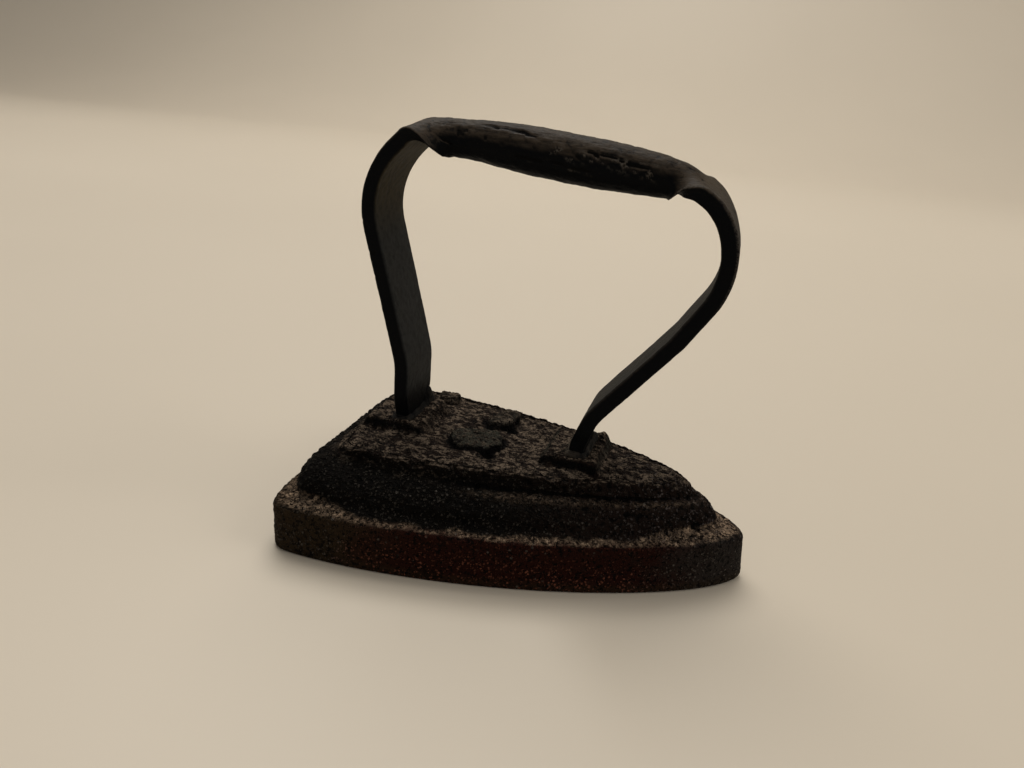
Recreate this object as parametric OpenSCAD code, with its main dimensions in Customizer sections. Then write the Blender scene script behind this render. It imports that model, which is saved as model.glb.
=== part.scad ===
// Solid cast flat iron with a forged strap handle, in millimetres.
// +X points to the tip, +Z up. The sole rests on z = 0, and x = 0 is the middle of its length.

/* [Sole] */
// Length of the sole from heel to tip
length = 142; // [125:1:165]
// Width of the sole at its widest place
width = 93.5; // [80:1:106]
// Distance of the widest place from the heel
widest_from_heel = 15.4; // [10:0.2:28]
// Roundness of the tip seen from above
tip_power = 1.7; // [1.5:0.05:2.2]
// Added half width that blunts the tip
tip_blunt = 2.6; // [0:0.1:3]
// Fullness of the long sides seen from above
side_power = 1.39; // [1.2:0.01:1.9]
// Squareness of the heel seen from above
heel_power = 5.5; // [2:0.1:6]
// Height of the flange round the sole
flange_h = 16; // [12:0.5:22]
// Radius of the upper edge of the flange
flange_r = 2; // [1:0.1:4]
// Lean of the flange's wall at the tip, as the distance by which its top lies behind its foot
tip_draft = 2; // [0:0.1:3]

/* [Raised body] */
// Rise of the ledge from the flange to the foot of the body
ledge_rise = 1.9; // [0.5:0.1:4]
// Width of the ledge at the tip
ledge_tip = 6.4; // [3:0.1:9]
// Width of the ledge along the sides
ledge_side = 4; // [1.5:0.1:6]
// Width of the ledge at the heel
ledge_heel = 2.2; // [0.5:0.1:6]
// Height of the rounded lower tier of the body
tier_h = 7.2; // [5:0.1:14]
// Set-back of the lower tier at the tip
tier_tip = 7.7; // [4:0.1:12]
// Set-back of the lower tier along the sides
tier_side = 12.3; // [6:0.1:15]
// Set-back of the lower tier at the heel
tier_heel = 7.2; // [4:0.1:12]
// Bulge of the lower tier, from 0 for a flat slope to 1 for a quarter round
tier_bulge = 0.8; // [0:0.05:1]
// Width of the step between the two tiers
step_w = 0.7; // [0.3:0.1:1.5]
// Height of the upper tier
cap_h = 5.1; // [2.5:0.1:8]
// Set-back of the upper tier at the tip
cap_tip = 4.6; // [2:0.1:8]
// Set-back of the upper tier along the sides
cap_side = 2.4; // [2:0.1:5]
// Set-back of the upper tier at the heel
cap_heel = 4; // [2:0.1:8]
// Radius of the edge round the flat top
cap_r = 2; // [0.3:0.1:2]

/* [Bosses and marks on the top] */
// Height of a boss above the flat top
boss_h = 3.5; // [2:0.1:7]
// Iron left beside a socket, at the top of its boss
boss_rim = 0.9; // [0.8:0.1:4]
// Spread of each side of a boss at its foot
boss_spread = 1.7; // [0.3:0.1:3]
// Reach of the heel boss behind its leg
heel_boss_back = 8.3; // [4:0.1:10]
// Reach of the heel boss in front of its leg
heel_boss_front = 4; // [3.5:0.1:10]
// Reach of the toe boss behind its leg
toe_boss_back = 6; // [3.5:0.1:10]
// Reach of the toe boss in front of its leg
toe_boss_front = 3.6; // [3.5:0.1:10]
// Height of the cast marks
mark_h = 0.9; // [0.4:0.1:2]
// Diameter of the round mark
round_mark_d = 15; // [8:0.5:17]
// Distance of the round mark's middle behind the middle between the legs
round_mark_back = 3; // [0:0.1:4]
// Distance of the round mark's middle from the near long edge of the top
round_mark_in = 20; // [18:0.1:24]
// Length of the bar mark
bar_mark_l = 15; // [10:0.5:18]
// Width of the bar mark
bar_mark_w = 7; // [4:0.5:9]
// Turn of the bar mark from the length of the iron
bar_turn = 70; // [0:1:90]
// Distance of the bar mark's middle from the long edge of the top
bar_mark_in = 12.7; // [9:0.1:14]
// Distance of the pellet mark's middle from the long edge of the top
pellet_in = 4.4; // [4:0.1:8]
// Distance of the pellet mark's middle in front of the heel leg's outer face
pellet_ahead = 8; // [6:0.1:14]
// Diameter of the pellet mark
pellet_d = 7; // [4:0.5:9]
// Height of the pellet mark
pellet_h = 1.8; // [0.6:0.1:3]

/* [Handle] */
// Width of the strap
strap_w = 20.2; // [17:0.2:22]
// Thickness of the strap
strap_t = 4.6; // [3:0.1:5]
// Chamfer of the strap's edges
strap_edge = 0.6; // [0.3:0.1:0.9]
// Width of the tangs, where the strap enters the body
tang_w = 16.4; // [13:0.2:16.8]
// Distance over which a tang widens into the strap
tang_run = 8; // [5:1:30]
// Distance of the heel leg's outer face from the heel
heel_leg_in = 25.8; // [25:0.2:30]
// Distance of the toe leg's outer face from the tip
toe_leg_in = 53.4; // [46:0.2:60]
// Height of the heel leg's knee above its boss
heel_knee_up = 18.4; // [13:0.1:24]
// Height of the toe leg's ankle above its boss
toe_ankle_up = 2.5; // [2:0.1:4]
// Height of the toe leg's knee above its boss
toe_knee_up = 12; // [12:0.1:20]
// Height of the toe leg's waist above its boss
toe_waist_up = 38.5; // [30:0.1:40]
// Lean of the heel leg backwards
heel_lean = 15.6; // [8:0.1:20]
// Lean of the toe leg forwards, below its knee
toe_shin_lean = 18.8; // [8:0.1:24]
// Lean of the toe leg forwards, from its knee to its waist
toe_lean = 37.5; // [30:0.1:39]
// Lean of the toe leg forwards, above its waist
toe_thigh_lean = 30.8; // [26:0.1:36]
// Bend radius of the heel knee
heel_knee_r = 21; // [12:1:30]
// Bend radius of the toe ankle
toe_ankle_r = 8; // [6:1:10]
// Bend radius of the toe knee
toe_knee_r = 12; // [8:1:20]
// Bend radius of the toe waist
toe_waist_r = 24; // [20:1:60]
// Bend radius at the heel end of the grip
heel_bend_r = 27; // [18:1:28]
// Bend radius at the toe end of the grip
toe_bend_r = 25.6; // [20:0.2:30]
// Height of the strap's outer face above the bosses, over the middle of the iron
grip_up = 90.6; // [84:0.1:102]
// Fall of the grip towards the toe
grip_fall = 4.5; // [0:0.1:6]

/* [Rolled grip] */
// Diameter of the rolled grip at its middle
grip_d = 13.5; // [11:0.1:15]
// Share of its diameter that the grip loses at its ends
grip_taper = 0.2; // [0:0.01:0.3]
// Height of the middle of the grip above the line of the strap's outer face
grip_proud = 1.5; // [0:0.1:2.5]
// Wall of the rolled grip
grip_wall = 2.2; // [1.8:0.1:2.8]
// Width of the seam left open under the grip
seam_w = 1.2; // [0.6:0.1:2]
// Distance from the heel leg to where the grip is fully rolled
grip_from_heel_leg = 16.8; // [8:0.2:18]
// Distance from the toe leg to where the rolled sheet ends
grip_past_toe_leg = 13.8; // [5:0.2:15]
// Distance over which the strap widens into the rolled sheet at the heel end
roll_run = 20; // [8:0.5:20]
// Distance from where the strap is fully curled to where the grip is fully rolled
curl_lead = 6.5; // [4:0.5:10]
// Distance over which the strap curls at the heel end
curl_run = 7.5; // [6:0.5:20]
// Distance over which the rolled sheet is cut back at the toe end
notch_run = 5; // [2:0.5:6]
// Distance over which the strap flattens after the cut
trough_run = 8; // [5:0.5:20]
// How fast the strap flattens after the cut, from 1 for a steady rate
trough_power = 1; // [1:0.1:3]
// Tilt of the strap past the grip's toe end, with its near edge down
toe_tilt = 7.4; // [0:0.2:12]
// Distance before the end of the rolled sheet at which the tilt starts
tilt_lead = 3; // [0:0.5:6]
// Distance over which the tilt grows
tilt_run = 9; // [6:0.5:14]

/* [Sockets and packing] */
// Depth of a socket below the top of its boss
socket_depth = 20; // [12:0.5:26]
// Gap round a tang that its packing fills
packing_gap = 1; // [1:0.1:2]
// Height of the packing's collar above the boss
collar_h = 2.2; // [0.8:0.1:4]
// Reach of the collar over the boss
collar_lap = 0.6; // [0.3:0.1:0.8]

/* [Hidden] */

// Points round each level of the body
around = 96;
// Levels in the flange's rounded edge and in the lower tier
round_steps = 4;
tier_steps = 5;
// Levels in the rounded edge of the flat top
cap_steps = 3;
// Powers of the sine and the cosine in the term that blunts the tip
blunt_power = 4;
blunt_fade = 8;
// Height of the step between the tiers
step_h = 0.8;
// Small chamfer where the sole meets the table
sole_edge = 0.5;
// Stations in each bend of the handle and along its straight stretches
knee_steps = 6;
ankle_steps = 3;
heel_bend_steps = 34;
toe_bend_steps = 34;
waist_steps = 4;
leg_steps = 3;
grip_steps = 20;
// Slopes of the toe bend, in degrees, between which the strap's tilt fades away
tilt_fade_from = 24;
tilt_fade_to = 72;
// Points across the strap
across = 13;
// Stations of each leg that its packing is cut by
heel_foot_stations = leg_steps + 2;
toe_foot_stations = leg_steps + ankle_steps + 3;
// Cuts run past a face by this much
past = 1;

ledge_z = flange_h + ledge_rise;
// Inset of the flange's top edge at the tip, the sides and the heel
flange_inset = [flange_r + tip_draft, flange_r, flange_r];
tier_z = ledge_z + tier_h;
top_z = tier_z + cap_h;
boss_z = top_z + boss_h;
socket_z = boss_z - socket_depth;
top_half_w = width / 2 - flange_r - ledge_side - tier_side - cap_side;
boss_w = tang_w + 2 * (packing_gap + boss_rim);
heel_leg_x = heel_leg_in - length / 2;
toe_leg_x = length / 2 - toe_leg_in;
heel_knee_z = boss_z + heel_knee_up;
toe_ankle_z = boss_z + toe_ankle_up;
toe_knee_z = boss_z + toe_knee_up;
toe_waist_z = boss_z + toe_waist_up;
toe_knee_x = toe_leg_x + (toe_knee_z - toe_ankle_z) * tan(toe_shin_lean);
toe_waist_x = toe_knee_x + (toe_waist_z - toe_knee_z) * tan(toe_lean);
grip_z = boss_z + grip_up;
grip_heel_x = heel_leg_x + grip_from_heel_leg;
grip_toe_x = toe_leg_x + grip_past_toe_leg;

// Angle, in degrees, that goes with a length along an arc of a curvature
function arc_angle(curvature, along) = curvature * along * 180 / PI;
function mix(a, b, share) = a + (b - a) * share;
// Smooth ramp that is 0 below 0 and 1 above 1
function ramp(t) = let (u = max(0, min(1, t))) u * u * (3 - 2 * u);
function left_of(heading) = [-sin(heading), cos(heading)];
function power_of(value, power) = sign(value) * pow(abs(value), 2 / power);

// One level of the body: a superellipse in front of the widest place and another behind it.
// A term that fades away from the tip blunts it.
function level(z, tip, side, heel) =
    let (
        tip_x = length / 2 - tip,
        heel_x = heel - length / 2,
        wide_x = mix(heel_x, tip_x, widest_from_heel / length),
        half_w = width / 2 - side
    ) [
        for (i = [0:around - 1])
            let (
                turn = 360 * i / around,
                front = cos(turn) >= 0,
                reach = front ? tip_x - wide_x : wide_x - heel_x,
                fade = pow(cos(turn), blunt_fade),
                blunt = front ? tip_blunt * power_of(sin(turn), blunt_power) * fade : 0
            ) [
                wide_x + reach * power_of(cos(turn), front ? tip_power : heel_power),
                half_w * power_of(sin(turn), front ? side_power : heel_power) + blunt,
                z
            ]
    ];

// Level of the flange, whose wall leans back at the tip
function flange_level(z, inset) =
    let (lean = tip_draft * max(0, z - sole_edge) / (flange_h - sole_edge))
        level(z, inset + lean, inset, inset);

// Levels of the flange's rounded edge
function flange_levels() = [
    for (i = [0:round_steps])
        let (turn = 90 * i / round_steps)
            flange_level(flange_h - flange_r * (1 - sin(turn)), flange_r * (1 - cos(turn)))
];

// Levels of the lower tier, whose slope bulges outwards
function tier_levels() = [
    for (i = [0:tier_steps])
        let (
            rise = i / tier_steps,
            back = mix(rise, 1 - sqrt(1 - rise * rise), tier_bulge),
            foot = flange_inset + [ledge_tip, ledge_side, ledge_heel],
            inset = foot + back * [tier_tip, tier_side, tier_heel]
        ) level(ledge_z + tier_h * rise, inset[0], inset[1], inset[2])
];

// Levels of the upper tier, from the step to the rounded edge of the flat top
function cap_levels() =
    let (
        foot = flange_inset + [ledge_tip + tier_tip, ledge_side + tier_side, ledge_heel + tier_heel],
        set_in = foot + [step_w, step_w, step_w],
        wall = foot + [step_w, step_w, step_w] / 2,
        full = foot + [cap_tip, cap_side, cap_heel]
    ) [
        level(tier_z + step_h / 2, set_in[0], set_in[1], set_in[2]),
        level(tier_z + step_h, wall[0], wall[1], wall[2]),
        for (i = [0:cap_steps])
            let (
                turn = 90 * i / cap_steps,
                back = cap_r * cos(turn) * [1, 1, 1]
            ) level(top_z - cap_r * (1 - sin(turn)), full[0] - back[0], full[1] - back[1], full[2] - back[2])
    ];

// Solid skinned over rings of points, each with the same number of points.
// Its ends are closed by strips from the first half of the ring across to the second half.
module skin(rings) {
    count = len(rings[0]);
    last = len(rings) - 1;
    points = [for (ring = rings) each ring];
    walls = [
        for (r = [0:last - 1])
            for (i = [0:count - 1])
                let (
                    a = r * count + i,
                    b = r * count + (i + 1) % count
                ) each [[a, a + count, b + count], [a, b + count, b]]
    ];
    first_cap = [
        for (i = [0:count / 2 - 2])
            let (j = count - 1 - i)
                each [[i, i + 1, j - 1], [i, j - 1, j]]
    ];
    last_cap = [for (face = first_cap) [for (i = [2:-1:0]) last * count + face[i]]];
    polyhedron(points, concat(first_cap, walls, last_cap));
}

module casting() {
    skin(concat(
        [flange_level(0, sole_edge), flange_level(sole_edge, 0)],
        flange_levels(),
        tier_levels(),
        cap_levels()
    ));
}

// Raised pad that a leg stands in, with a reach behind and in front of the leg that starts at low_x
module boss(low_x, back, front) {
    boss_l = back + strap_t + front;
    foot_l = boss_l + 2 * boss_spread;
    foot_w = boss_w + 2 * boss_spread;
    sunk = boss_spread;
    rise = boss_h + sunk;
    translate([low_x - back + boss_l / 2, 0, top_z - sunk])
        linear_extrude(rise, scale = [boss_l / foot_l, boss_w / foot_w])
            square([foot_l, foot_w], center = true);
}

// Block of the socket under a boss, between the leg's lower and upper face in x
module socket(low_x, above) {
    translate([low_x - packing_gap, -tang_w / 2 - packing_gap, socket_z])
        cube([strap_t + 2 * packing_gap, tang_w + 2 * packing_gap, socket_depth + above]);
}

module marks() {
    middle_x = (heel_leg_x + toe_leg_x) / 2;
    round_at = [middle_x - round_mark_back, round_mark_in - top_half_w];
    bar_at = [middle_x, top_half_w - bar_mark_in];
    pellet_at = [heel_leg_x + pellet_ahead, top_half_w - pellet_in];
    translate([round_at[0], round_at[1], top_z - past])
        cylinder(h = mark_h + past, d = round_mark_d, $fn = 40);
    translate([bar_at[0], bar_at[1], top_z - past])
        rotate(bar_turn)
            linear_extrude(mark_h + past)
                hull()
                    for (side = [-1, 1])
                        translate([side * (bar_mark_l - bar_mark_w) / 2, 0])
                            circle(d = bar_mark_w, $fn = 24);
    translate([pellet_at[0], pellet_at[1], top_z - past])
        cylinder(h = pellet_h + past, d = pellet_d, $fn = 24);
}

module body() {
    color("#2b2320")
        difference() {
            union() {
                casting();
                boss(heel_leg_x, heel_boss_back, heel_boss_front);
                boss(toe_leg_x - strap_t, toe_boss_back, toe_boss_front);
                marks();
            }
            socket(heel_leg_x, past);
            socket(toe_leg_x - strap_t, past);
        }
}

// Heights where the lines of the legs meet the line of the grip
fall = tan(grip_fall);
heel_rise = (grip_z - fall * heel_leg_x - heel_knee_z) / (1 - fall * tan(heel_lean));
toe_rise = (grip_z - fall * toe_waist_x - toe_waist_z) / (1 + fall * tan(toe_thigh_lean));

// Corners of the strap's outer face, and its headings, in degrees anticlockwise from +X.
// The tangs stand upright, so the strap starts at 90 and ends at -90.
heel_foot = [heel_leg_x, socket_z];
heel_knee = [heel_leg_x, heel_knee_z];
heel_top = heel_knee + heel_rise * [-tan(heel_lean), 1];
toe_knee = [toe_knee_x, toe_knee_z];
toe_waist = [toe_waist_x, toe_waist_z];
toe_top = toe_waist + toe_rise * [tan(toe_thigh_lean), 1];
toe_ankle = [toe_leg_x, toe_ankle_z];
toe_foot = [toe_leg_x, socket_z];
heel_leg_way = 90 + heel_lean;
grip_way = -grip_fall;
toe_thigh_way = -90 - toe_thigh_lean;
toe_leg_way = -90 - toe_lean;
toe_shin_way = -90 - toe_shin_lean;

// Stations, as [place, heading], on a bend of a radius round a corner
function bend(corner, from, to, radius, steps) =
    let (
        side = sign(to - from),
        back = radius * tan(abs(to - from) / 2),
        start = corner - back * [cos(from), sin(from)],
        middle = start + side * radius * left_of(from)
    ) [
        for (i = [0:steps])
            let (heading = mix(from, to, i / steps))
                [middle - side * radius * left_of(heading), heading]
    ];

// Stations between two places, without the places themselves
function between(from, to, steps) = [
    for (i = [1:steps])
        [mix(from[0], to[0], i / (steps + 1)), to[1]]
];

heel_knee_bend = bend(heel_knee, 90, heel_leg_way, heel_knee_r, knee_steps);
heel_top_bend = bend(heel_top, heel_leg_way, grip_way, heel_bend_r, heel_bend_steps);
toe_top_bend = bend(toe_top, grip_way, toe_thigh_way, toe_bend_r, toe_bend_steps);
toe_waist_bend = bend(toe_waist, toe_thigh_way, toe_leg_way, toe_waist_r, waist_steps);
toe_knee_bend = bend(toe_knee, toe_leg_way, toe_shin_way, toe_knee_r, knee_steps);
toe_ankle_bend = bend(toe_ankle, toe_shin_way, -90, toe_ankle_r, ankle_steps);
path = concat(
    [[heel_foot, 90]],
    between([heel_foot, 90], heel_knee_bend[0], leg_steps),
    heel_knee_bend,
    between(heel_knee_bend[knee_steps], heel_top_bend[0], leg_steps),
    heel_top_bend,
    between(heel_top_bend[heel_bend_steps], toe_top_bend[0], grip_steps),
    toe_top_bend,
    between(toe_top_bend[toe_bend_steps], toe_waist_bend[0], leg_steps),
    toe_waist_bend,
    between(toe_waist_bend[waist_steps], toe_knee_bend[0], leg_steps),
    toe_knee_bend,
    between(toe_knee_bend[knee_steps], toe_ankle_bend[0], 1),
    toe_ankle_bend,
    between(toe_ankle_bend[ankle_steps], [toe_foot, -90], leg_steps),
    [[toe_foot, -90]]
);

// Whether a place is on the upper half of the handle, as 1 or 0
function upper(place) = place[1] < (heel_knee_z + grip_z) / 2 ? 0 : 1;

// How far the strap is widened into the sheet at a place, from 0 to 1
function widened(place) =
    upper(place)
        * ramp((place[0] - grip_heel_x + roll_run) / roll_run)
        * (1 - ramp((place[0] - grip_toe_x) / notch_run));

// How far the strap is curled at a place, from 0 to 1
function curl(place) =
    let (past_cut = max(0, min(1, (place[0] - grip_toe_x) / trough_run)))
        upper(place)
            * ramp((place[0] - grip_heel_x + curl_lead + curl_run) / curl_run)
            * pow(1 - past_cut, trough_power);

function grip_radius(x) =
    let (
        middle = (grip_heel_x + grip_toe_x) / 2,
        half = (grip_toe_x - grip_heel_x) / 2,
        off = min(1, abs(x - middle) / half)
    ) grip_d / 2 * (1 - grip_taper * off * off);

// How far the strap is tilted at a station, in degrees
function tilt(station) =
    let (
        place = station[0],
        slope = -station[1],
        grown = ramp((place[0] - grip_toe_x + tilt_lead) / tilt_run),
        faded = ramp((slope - tilt_fade_from) / (tilt_fade_to - tilt_fade_from))
    ) toe_tilt * upper(place) * grown * (1 - faded);

// Strap's half width, without the roll: narrow at the tangs
function flat_half(place) = mix(tang_w, strap_w, ramp((place[1] - boss_z) / tang_run)) / 2;

// Outline of the flat strap's section, as [across, depth], for a half width and a thickness
function flat_section(half, thick) =
    let (
        reach = half - strap_edge,
        top_row = [for (i = [0:across - 1]) [mix(-reach, reach, i / (across - 1)), 0]],
        upper = concat([[-half, strap_edge]], top_row, [[half, strap_edge]])
    ) concat(upper, [for (i = [len(upper) - 1:-1:0]) [upper[i][0], thick - upper[i][1]]]);

// A point of the flat section, bent to a curvature round the far side of the depth
function curled(point, curvature) =
    curvature == 0 ? point :
        let (turn = arc_angle(curvature, point[0]))
            [sin(turn) * (1 / curvature - point[1]), (1 - cos(turn)) / curvature + point[1] * cos(turn)];

// A point of the section, turned by an angle so that the near side goes down
function tilted(point, angle) = [
    point[0] * cos(angle) - point[1] * sin(angle),
    point[1] * cos(angle) + point[0] * sin(angle)
];

// Ring of points of the strap at a station, in the same turning sense as the levels of the body.
// The rolled sheet keeps its middle on a line that stands proud of the strap's outer face.
function strap_ring(station) =
    let (
        place = station[0],
        outward = left_of(station[1]),
        radius = grip_radius(place[0]),
        wide = widened(place),
        half = mix(flat_half(place), PI * radius - seam_w / 2, wide),
        thick = mix(strap_t, grip_wall, wide),
        lift = curl(place) * (grip_proud - grip_d / 2 + radius)
    ) [
        for (point = flat_section(half, thick))
            let (
                bent = curled(point, curl(place) / radius) - [0, lift],
                turned = tilted(bent, tilt(station)),
                spot = place - turned[1] * outward
            ) [spot[0], -turned[0], spot[1]]
    ];

module strap(from, to) {
    skin([for (i = [from:to]) strap_ring(path[i])]);
}

module handle() {
    color("#26272b") strap(0, len(path) - 1);
}

// Packing run in round a tang: a plug that fills the socket, and a collar that laps the boss
module packing(low_x, from, to) {
    collar_l = strap_t + 2 * (packing_gap + collar_lap);
    collar_w = tang_w + 2 * (packing_gap + collar_lap);
    top_share = 0.75;
    color("#5a5046")
        difference() {
            union() {
                socket(low_x, 0);
                translate([low_x + strap_t / 2, 0, boss_z])
                    linear_extrude(collar_h, scale = [top_share, (1 + top_share) / 2])
                        square([collar_l, collar_w], center = true);
            }
            strap(from, to);
        }
}

module heel_packing() {
    packing(heel_leg_x, 0, heel_foot_stations);
}

module toe_packing() {
    packing(toe_leg_x - strap_t, len(path) - 1 - toe_foot_stations, len(path) - 1);
}

body();
handle();
heel_packing();
toe_packing();
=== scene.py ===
"""A cast flat iron with a forged strap handle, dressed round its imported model, in metres.

+X points to the tip and +Z up, and the sole rests on z = 0. Shapes are worked out in millimetres
as whole arrays and turned into metres where they become meshes.
"""
import math

import bpy
import numpy as np
from bpy.props import FloatProperty, FloatVectorProperty, PointerProperty
from mathutils import Matrix, Vector


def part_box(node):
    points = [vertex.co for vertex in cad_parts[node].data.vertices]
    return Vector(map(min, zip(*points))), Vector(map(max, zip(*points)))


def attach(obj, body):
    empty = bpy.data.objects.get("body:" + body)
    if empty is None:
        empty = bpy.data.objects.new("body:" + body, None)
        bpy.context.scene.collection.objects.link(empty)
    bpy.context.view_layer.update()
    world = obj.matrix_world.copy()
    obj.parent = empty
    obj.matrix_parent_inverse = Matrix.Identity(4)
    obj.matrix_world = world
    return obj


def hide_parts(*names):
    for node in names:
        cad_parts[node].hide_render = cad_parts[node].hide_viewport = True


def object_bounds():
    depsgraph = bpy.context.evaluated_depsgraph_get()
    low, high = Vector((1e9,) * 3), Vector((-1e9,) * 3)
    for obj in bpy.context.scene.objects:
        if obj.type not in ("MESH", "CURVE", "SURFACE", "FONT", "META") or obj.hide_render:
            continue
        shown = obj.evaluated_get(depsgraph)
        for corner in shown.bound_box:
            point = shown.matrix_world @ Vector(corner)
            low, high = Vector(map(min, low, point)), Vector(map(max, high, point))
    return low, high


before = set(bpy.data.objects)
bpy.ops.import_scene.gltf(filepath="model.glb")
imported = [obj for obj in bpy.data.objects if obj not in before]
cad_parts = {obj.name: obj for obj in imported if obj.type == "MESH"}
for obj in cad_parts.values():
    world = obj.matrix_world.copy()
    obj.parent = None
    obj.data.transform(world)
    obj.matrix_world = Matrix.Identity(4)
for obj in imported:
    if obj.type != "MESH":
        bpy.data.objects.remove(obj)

bl_info = {
    "name": "Flat iron",
    "version": (1, 0, 0),
    "blender": (4, 5, 0),
    "location": "View3D > Sidebar > Flat iron",
    "description": "Makes the casting, the forged handle and the packing of a flat iron",
    "category": "Object",
}

MM = 0.001
CAD_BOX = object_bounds()
BODY_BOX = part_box("body")
HEEL_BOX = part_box("heel_packing")
TOE_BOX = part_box("toe_packing")


# Sizes and colours that a user would change

def length_property(name, description, default_mm):
    """A length in metres whose default is given in millimetres."""
    return FloatProperty(name=name, description=description, default=default_mm * MM,
                         min=0, unit="LENGTH", subtype="DISTANCE", precision=5)


def colour_property(name, description, default):
    """A linear colour."""
    return FloatVectorProperty(name=name, description=description, default=default,
                               size=3, min=0, max=1, subtype="COLOR")


class IronCastingSizes(bpy.types.PropertyGroup):
    """Sizes and colours of the casting."""
    length: length_property("Length", "Length of the sole", (BODY_BOX[1].x - BODY_BOX[0].x) / MM)
    width: length_property("Width", "Width of the sole", (BODY_BOX[1].y - BODY_BOX[0].y) / MM)
    boss_top: length_property("Boss top", "Height of the top of the bosses", BODY_BOX[1].z / MM)
    boss_height: length_property("Boss height", "Height of the bosses above the flat top", 3.5)
    flange_height: length_property("Flange height", "Height of the flange round the sole", 16)
    flange_radius: length_property("Flange edge", "Radius of the flange's upper edge", 2)
    grain: length_property("Grain", "Height of the sand-cast lumps", 0.5)
    skin: length_property("Skin", "Mean depth of the skin below the tops of its lumps", 0.25)
    iron: colour_property("Iron", "Greasy dark iron", (0.0027, 0.0018, 0.0011))
    rust: colour_property("Rust", "Dark maroon rust on the flange", (0.0165, 0.004, 0.0024))
    olive: colour_property("Olive", "Olive-brown rust at the heel", (0.023, 0.0145, 0.0072))
    nose: colour_property("Nose", "Grey iron at the tip", (0.0185, 0.0145, 0.012))
    dust: colour_property("Dust", "Brown dust on what faces up", (0.15, 0.112, 0.08))
    crust: colour_property("Crust", "Tan rust crust along the ledge", (0.3, 0.21, 0.14))


class IronHandleSizes(bpy.types.PropertyGroup):
    """Sizes and colours of the handle."""
    strap_width: length_property("Strap width", "Width of the strap", 20.2)
    strap_thickness: length_property("Strap thickness", "Thickness of the strap", 4.6)
    edge_radius: length_property("Edge radius", "Radius of the strap's worn edges", 0.8)
    grip_diameter: length_property("Grip", "Diameter of the rolled grip at its middle", 13.5)
    crack: length_property("Cracks", "Depth of the cracks along the grip", 0.6)
    scale: colour_property("Scale", "Blue-black forging scale", (0.0018, 0.0021, 0.0027))
    worn: colour_property("Worn iron", "Grey-brown iron where hands wore it", (0.05, 0.037, 0.0255))
    # Also the colour of the painted highlights on the crack lips and the toe bend's rim, and of the painted
    # reflection on the bend's outer face
    flake_and_sheen: colour_property("Flakes", "Pale iron under lost scale", (0.085, 0.073, 0.06))


class IronStageSizes(bpy.types.PropertyGroup):
    """Sizes and colours of the stage."""
    floor: colour_property("Floor", "Colour of the pale floor", (0.62, 0.54, 0.43))
    lamp_power: FloatProperty(name="Lamp power", description="Power of the large lamp overhead",
                              default=62, min=0, unit="POWER")
    fill: FloatProperty(name="Fill", description="Strength of the light from all round",
                        default=0.32, min=0)


# Noise and curves

def ramp(t):
    """Smooth ramp 3u^2 - 2u^3 of u, where u is t held between 0 and 1."""
    u = np.clip(t, 0, 1)
    return u * u * (3 - 2 * u)


def rise(values, start, end):
    """A smooth ramp from 0 where the values are at start to 1 where they are at end."""
    return ramp((values - start) / (end - start))


def bell(t):
    """A bell of height 1 round 0: exp(-t^2)."""
    return np.exp(-t * t)


def mix(a, b, share):
    """a where the share is 0, b where it is 1, and evenly between."""
    return a + (b - a) * share


def travelled(steps):
    """Distance gone at each point of a way, from the steps between its points."""
    return np.concatenate([[0], np.cumsum(steps)])


def plan(x, y):
    """Points at height 0, for noise that is the same at every height."""
    return np.stack([x, y, 0 * x], -1)


CELL_KEYS = 4096
CELL_PRIMES = (73856093, 19349663, 83492791)


def cell_key(cells):
    """A number below CELL_KEYS for each cubic cell, scattered by three large primes."""
    a, b, c = (cells[..., axis] * prime for axis, prime in enumerate(CELL_PRIMES))
    return (a ^ b ^ c) % CELL_KEYS


def lattice_noise(points, cell, seed):
    """Value noise from -1 to 1: random numbers at the corners of cubic cells, joined by 3t^2 - 2t^3."""
    table = np.random.default_rng(seed).random(CELL_KEYS) * 2 - 1
    scaled = points / cell
    base = np.floor(scaled).astype(np.int64)
    t = ramp(scaled - base)
    total = 0
    for step in np.ndindex(2, 2, 2):
        weight = np.prod(np.abs(1 - np.array(step) - t), axis=-1)
        total = total + weight * table[cell_key(base + np.array(step))]
    return total


def layered_noise(points, cell, seed, layers, stretch=(1, 1, 1)):
    """Sum of value noises, each layer at half the cell and half the height of the last.

    The noise is drawn out along each axis by its stretch.
    """
    points = points / np.array(stretch)
    total = 0
    for layer in range(layers):
        total = total + lattice_noise(points, cell / 2 ** layer, seed + layer) / 2 ** layer
    return total / (2 - 2 ** (1 - layers))


LUMP_REACH = (0.25, 0.75)


def round_lumps(points, cell, seed):
    """Round lumps from 0 to 1: the highest r - d^2/r over centres strewn one to a cubic cell.

    d is the distance to a centre, in cells, and r is the lump's own radius, within LUMP_REACH.
    """
    table = np.random.default_rng(seed).random((CELL_KEYS, 4))
    scaled = points / cell
    base = np.floor(scaled).astype(np.int64)
    best = np.zeros(scaled.shape[:-1])
    for step in np.ndindex(3, 3, 3):
        corner = base + np.array(step) - 1
        chance = table[cell_key(corner)]
        away = ((scaled - corner - chance[..., :3]) ** 2).sum(-1)
        reach = mix(*LUMP_REACH, chance[..., 3])
        best = np.maximum(best, reach - away / reach)
    return best / LUMP_REACH[1]


def spaced(values, spacing):
    """Rows of values resampled at even steps of the distance along their first two columns."""
    along = travelled(np.hypot(np.diff(values[:, 0]), np.diff(values[:, 1])))
    count = int(round(along[-1] / spacing)) + 1
    at = np.linspace(0, along[-1], count)
    return np.stack([np.interp(at, along, column) for column in values.T], 1)


# Meshes

def grid_normals(points):
    """Unit normals of a closed grid of points: the cross product of its two central differences."""
    across = np.roll(points, -1, 1) - np.roll(points, 1, 1)
    normal = np.cross(across, np.gradient(points, axis=0))
    size = np.linalg.norm(normal, axis=-1, keepdims=True)
    return normal / np.maximum(size, 1e-9)


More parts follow.
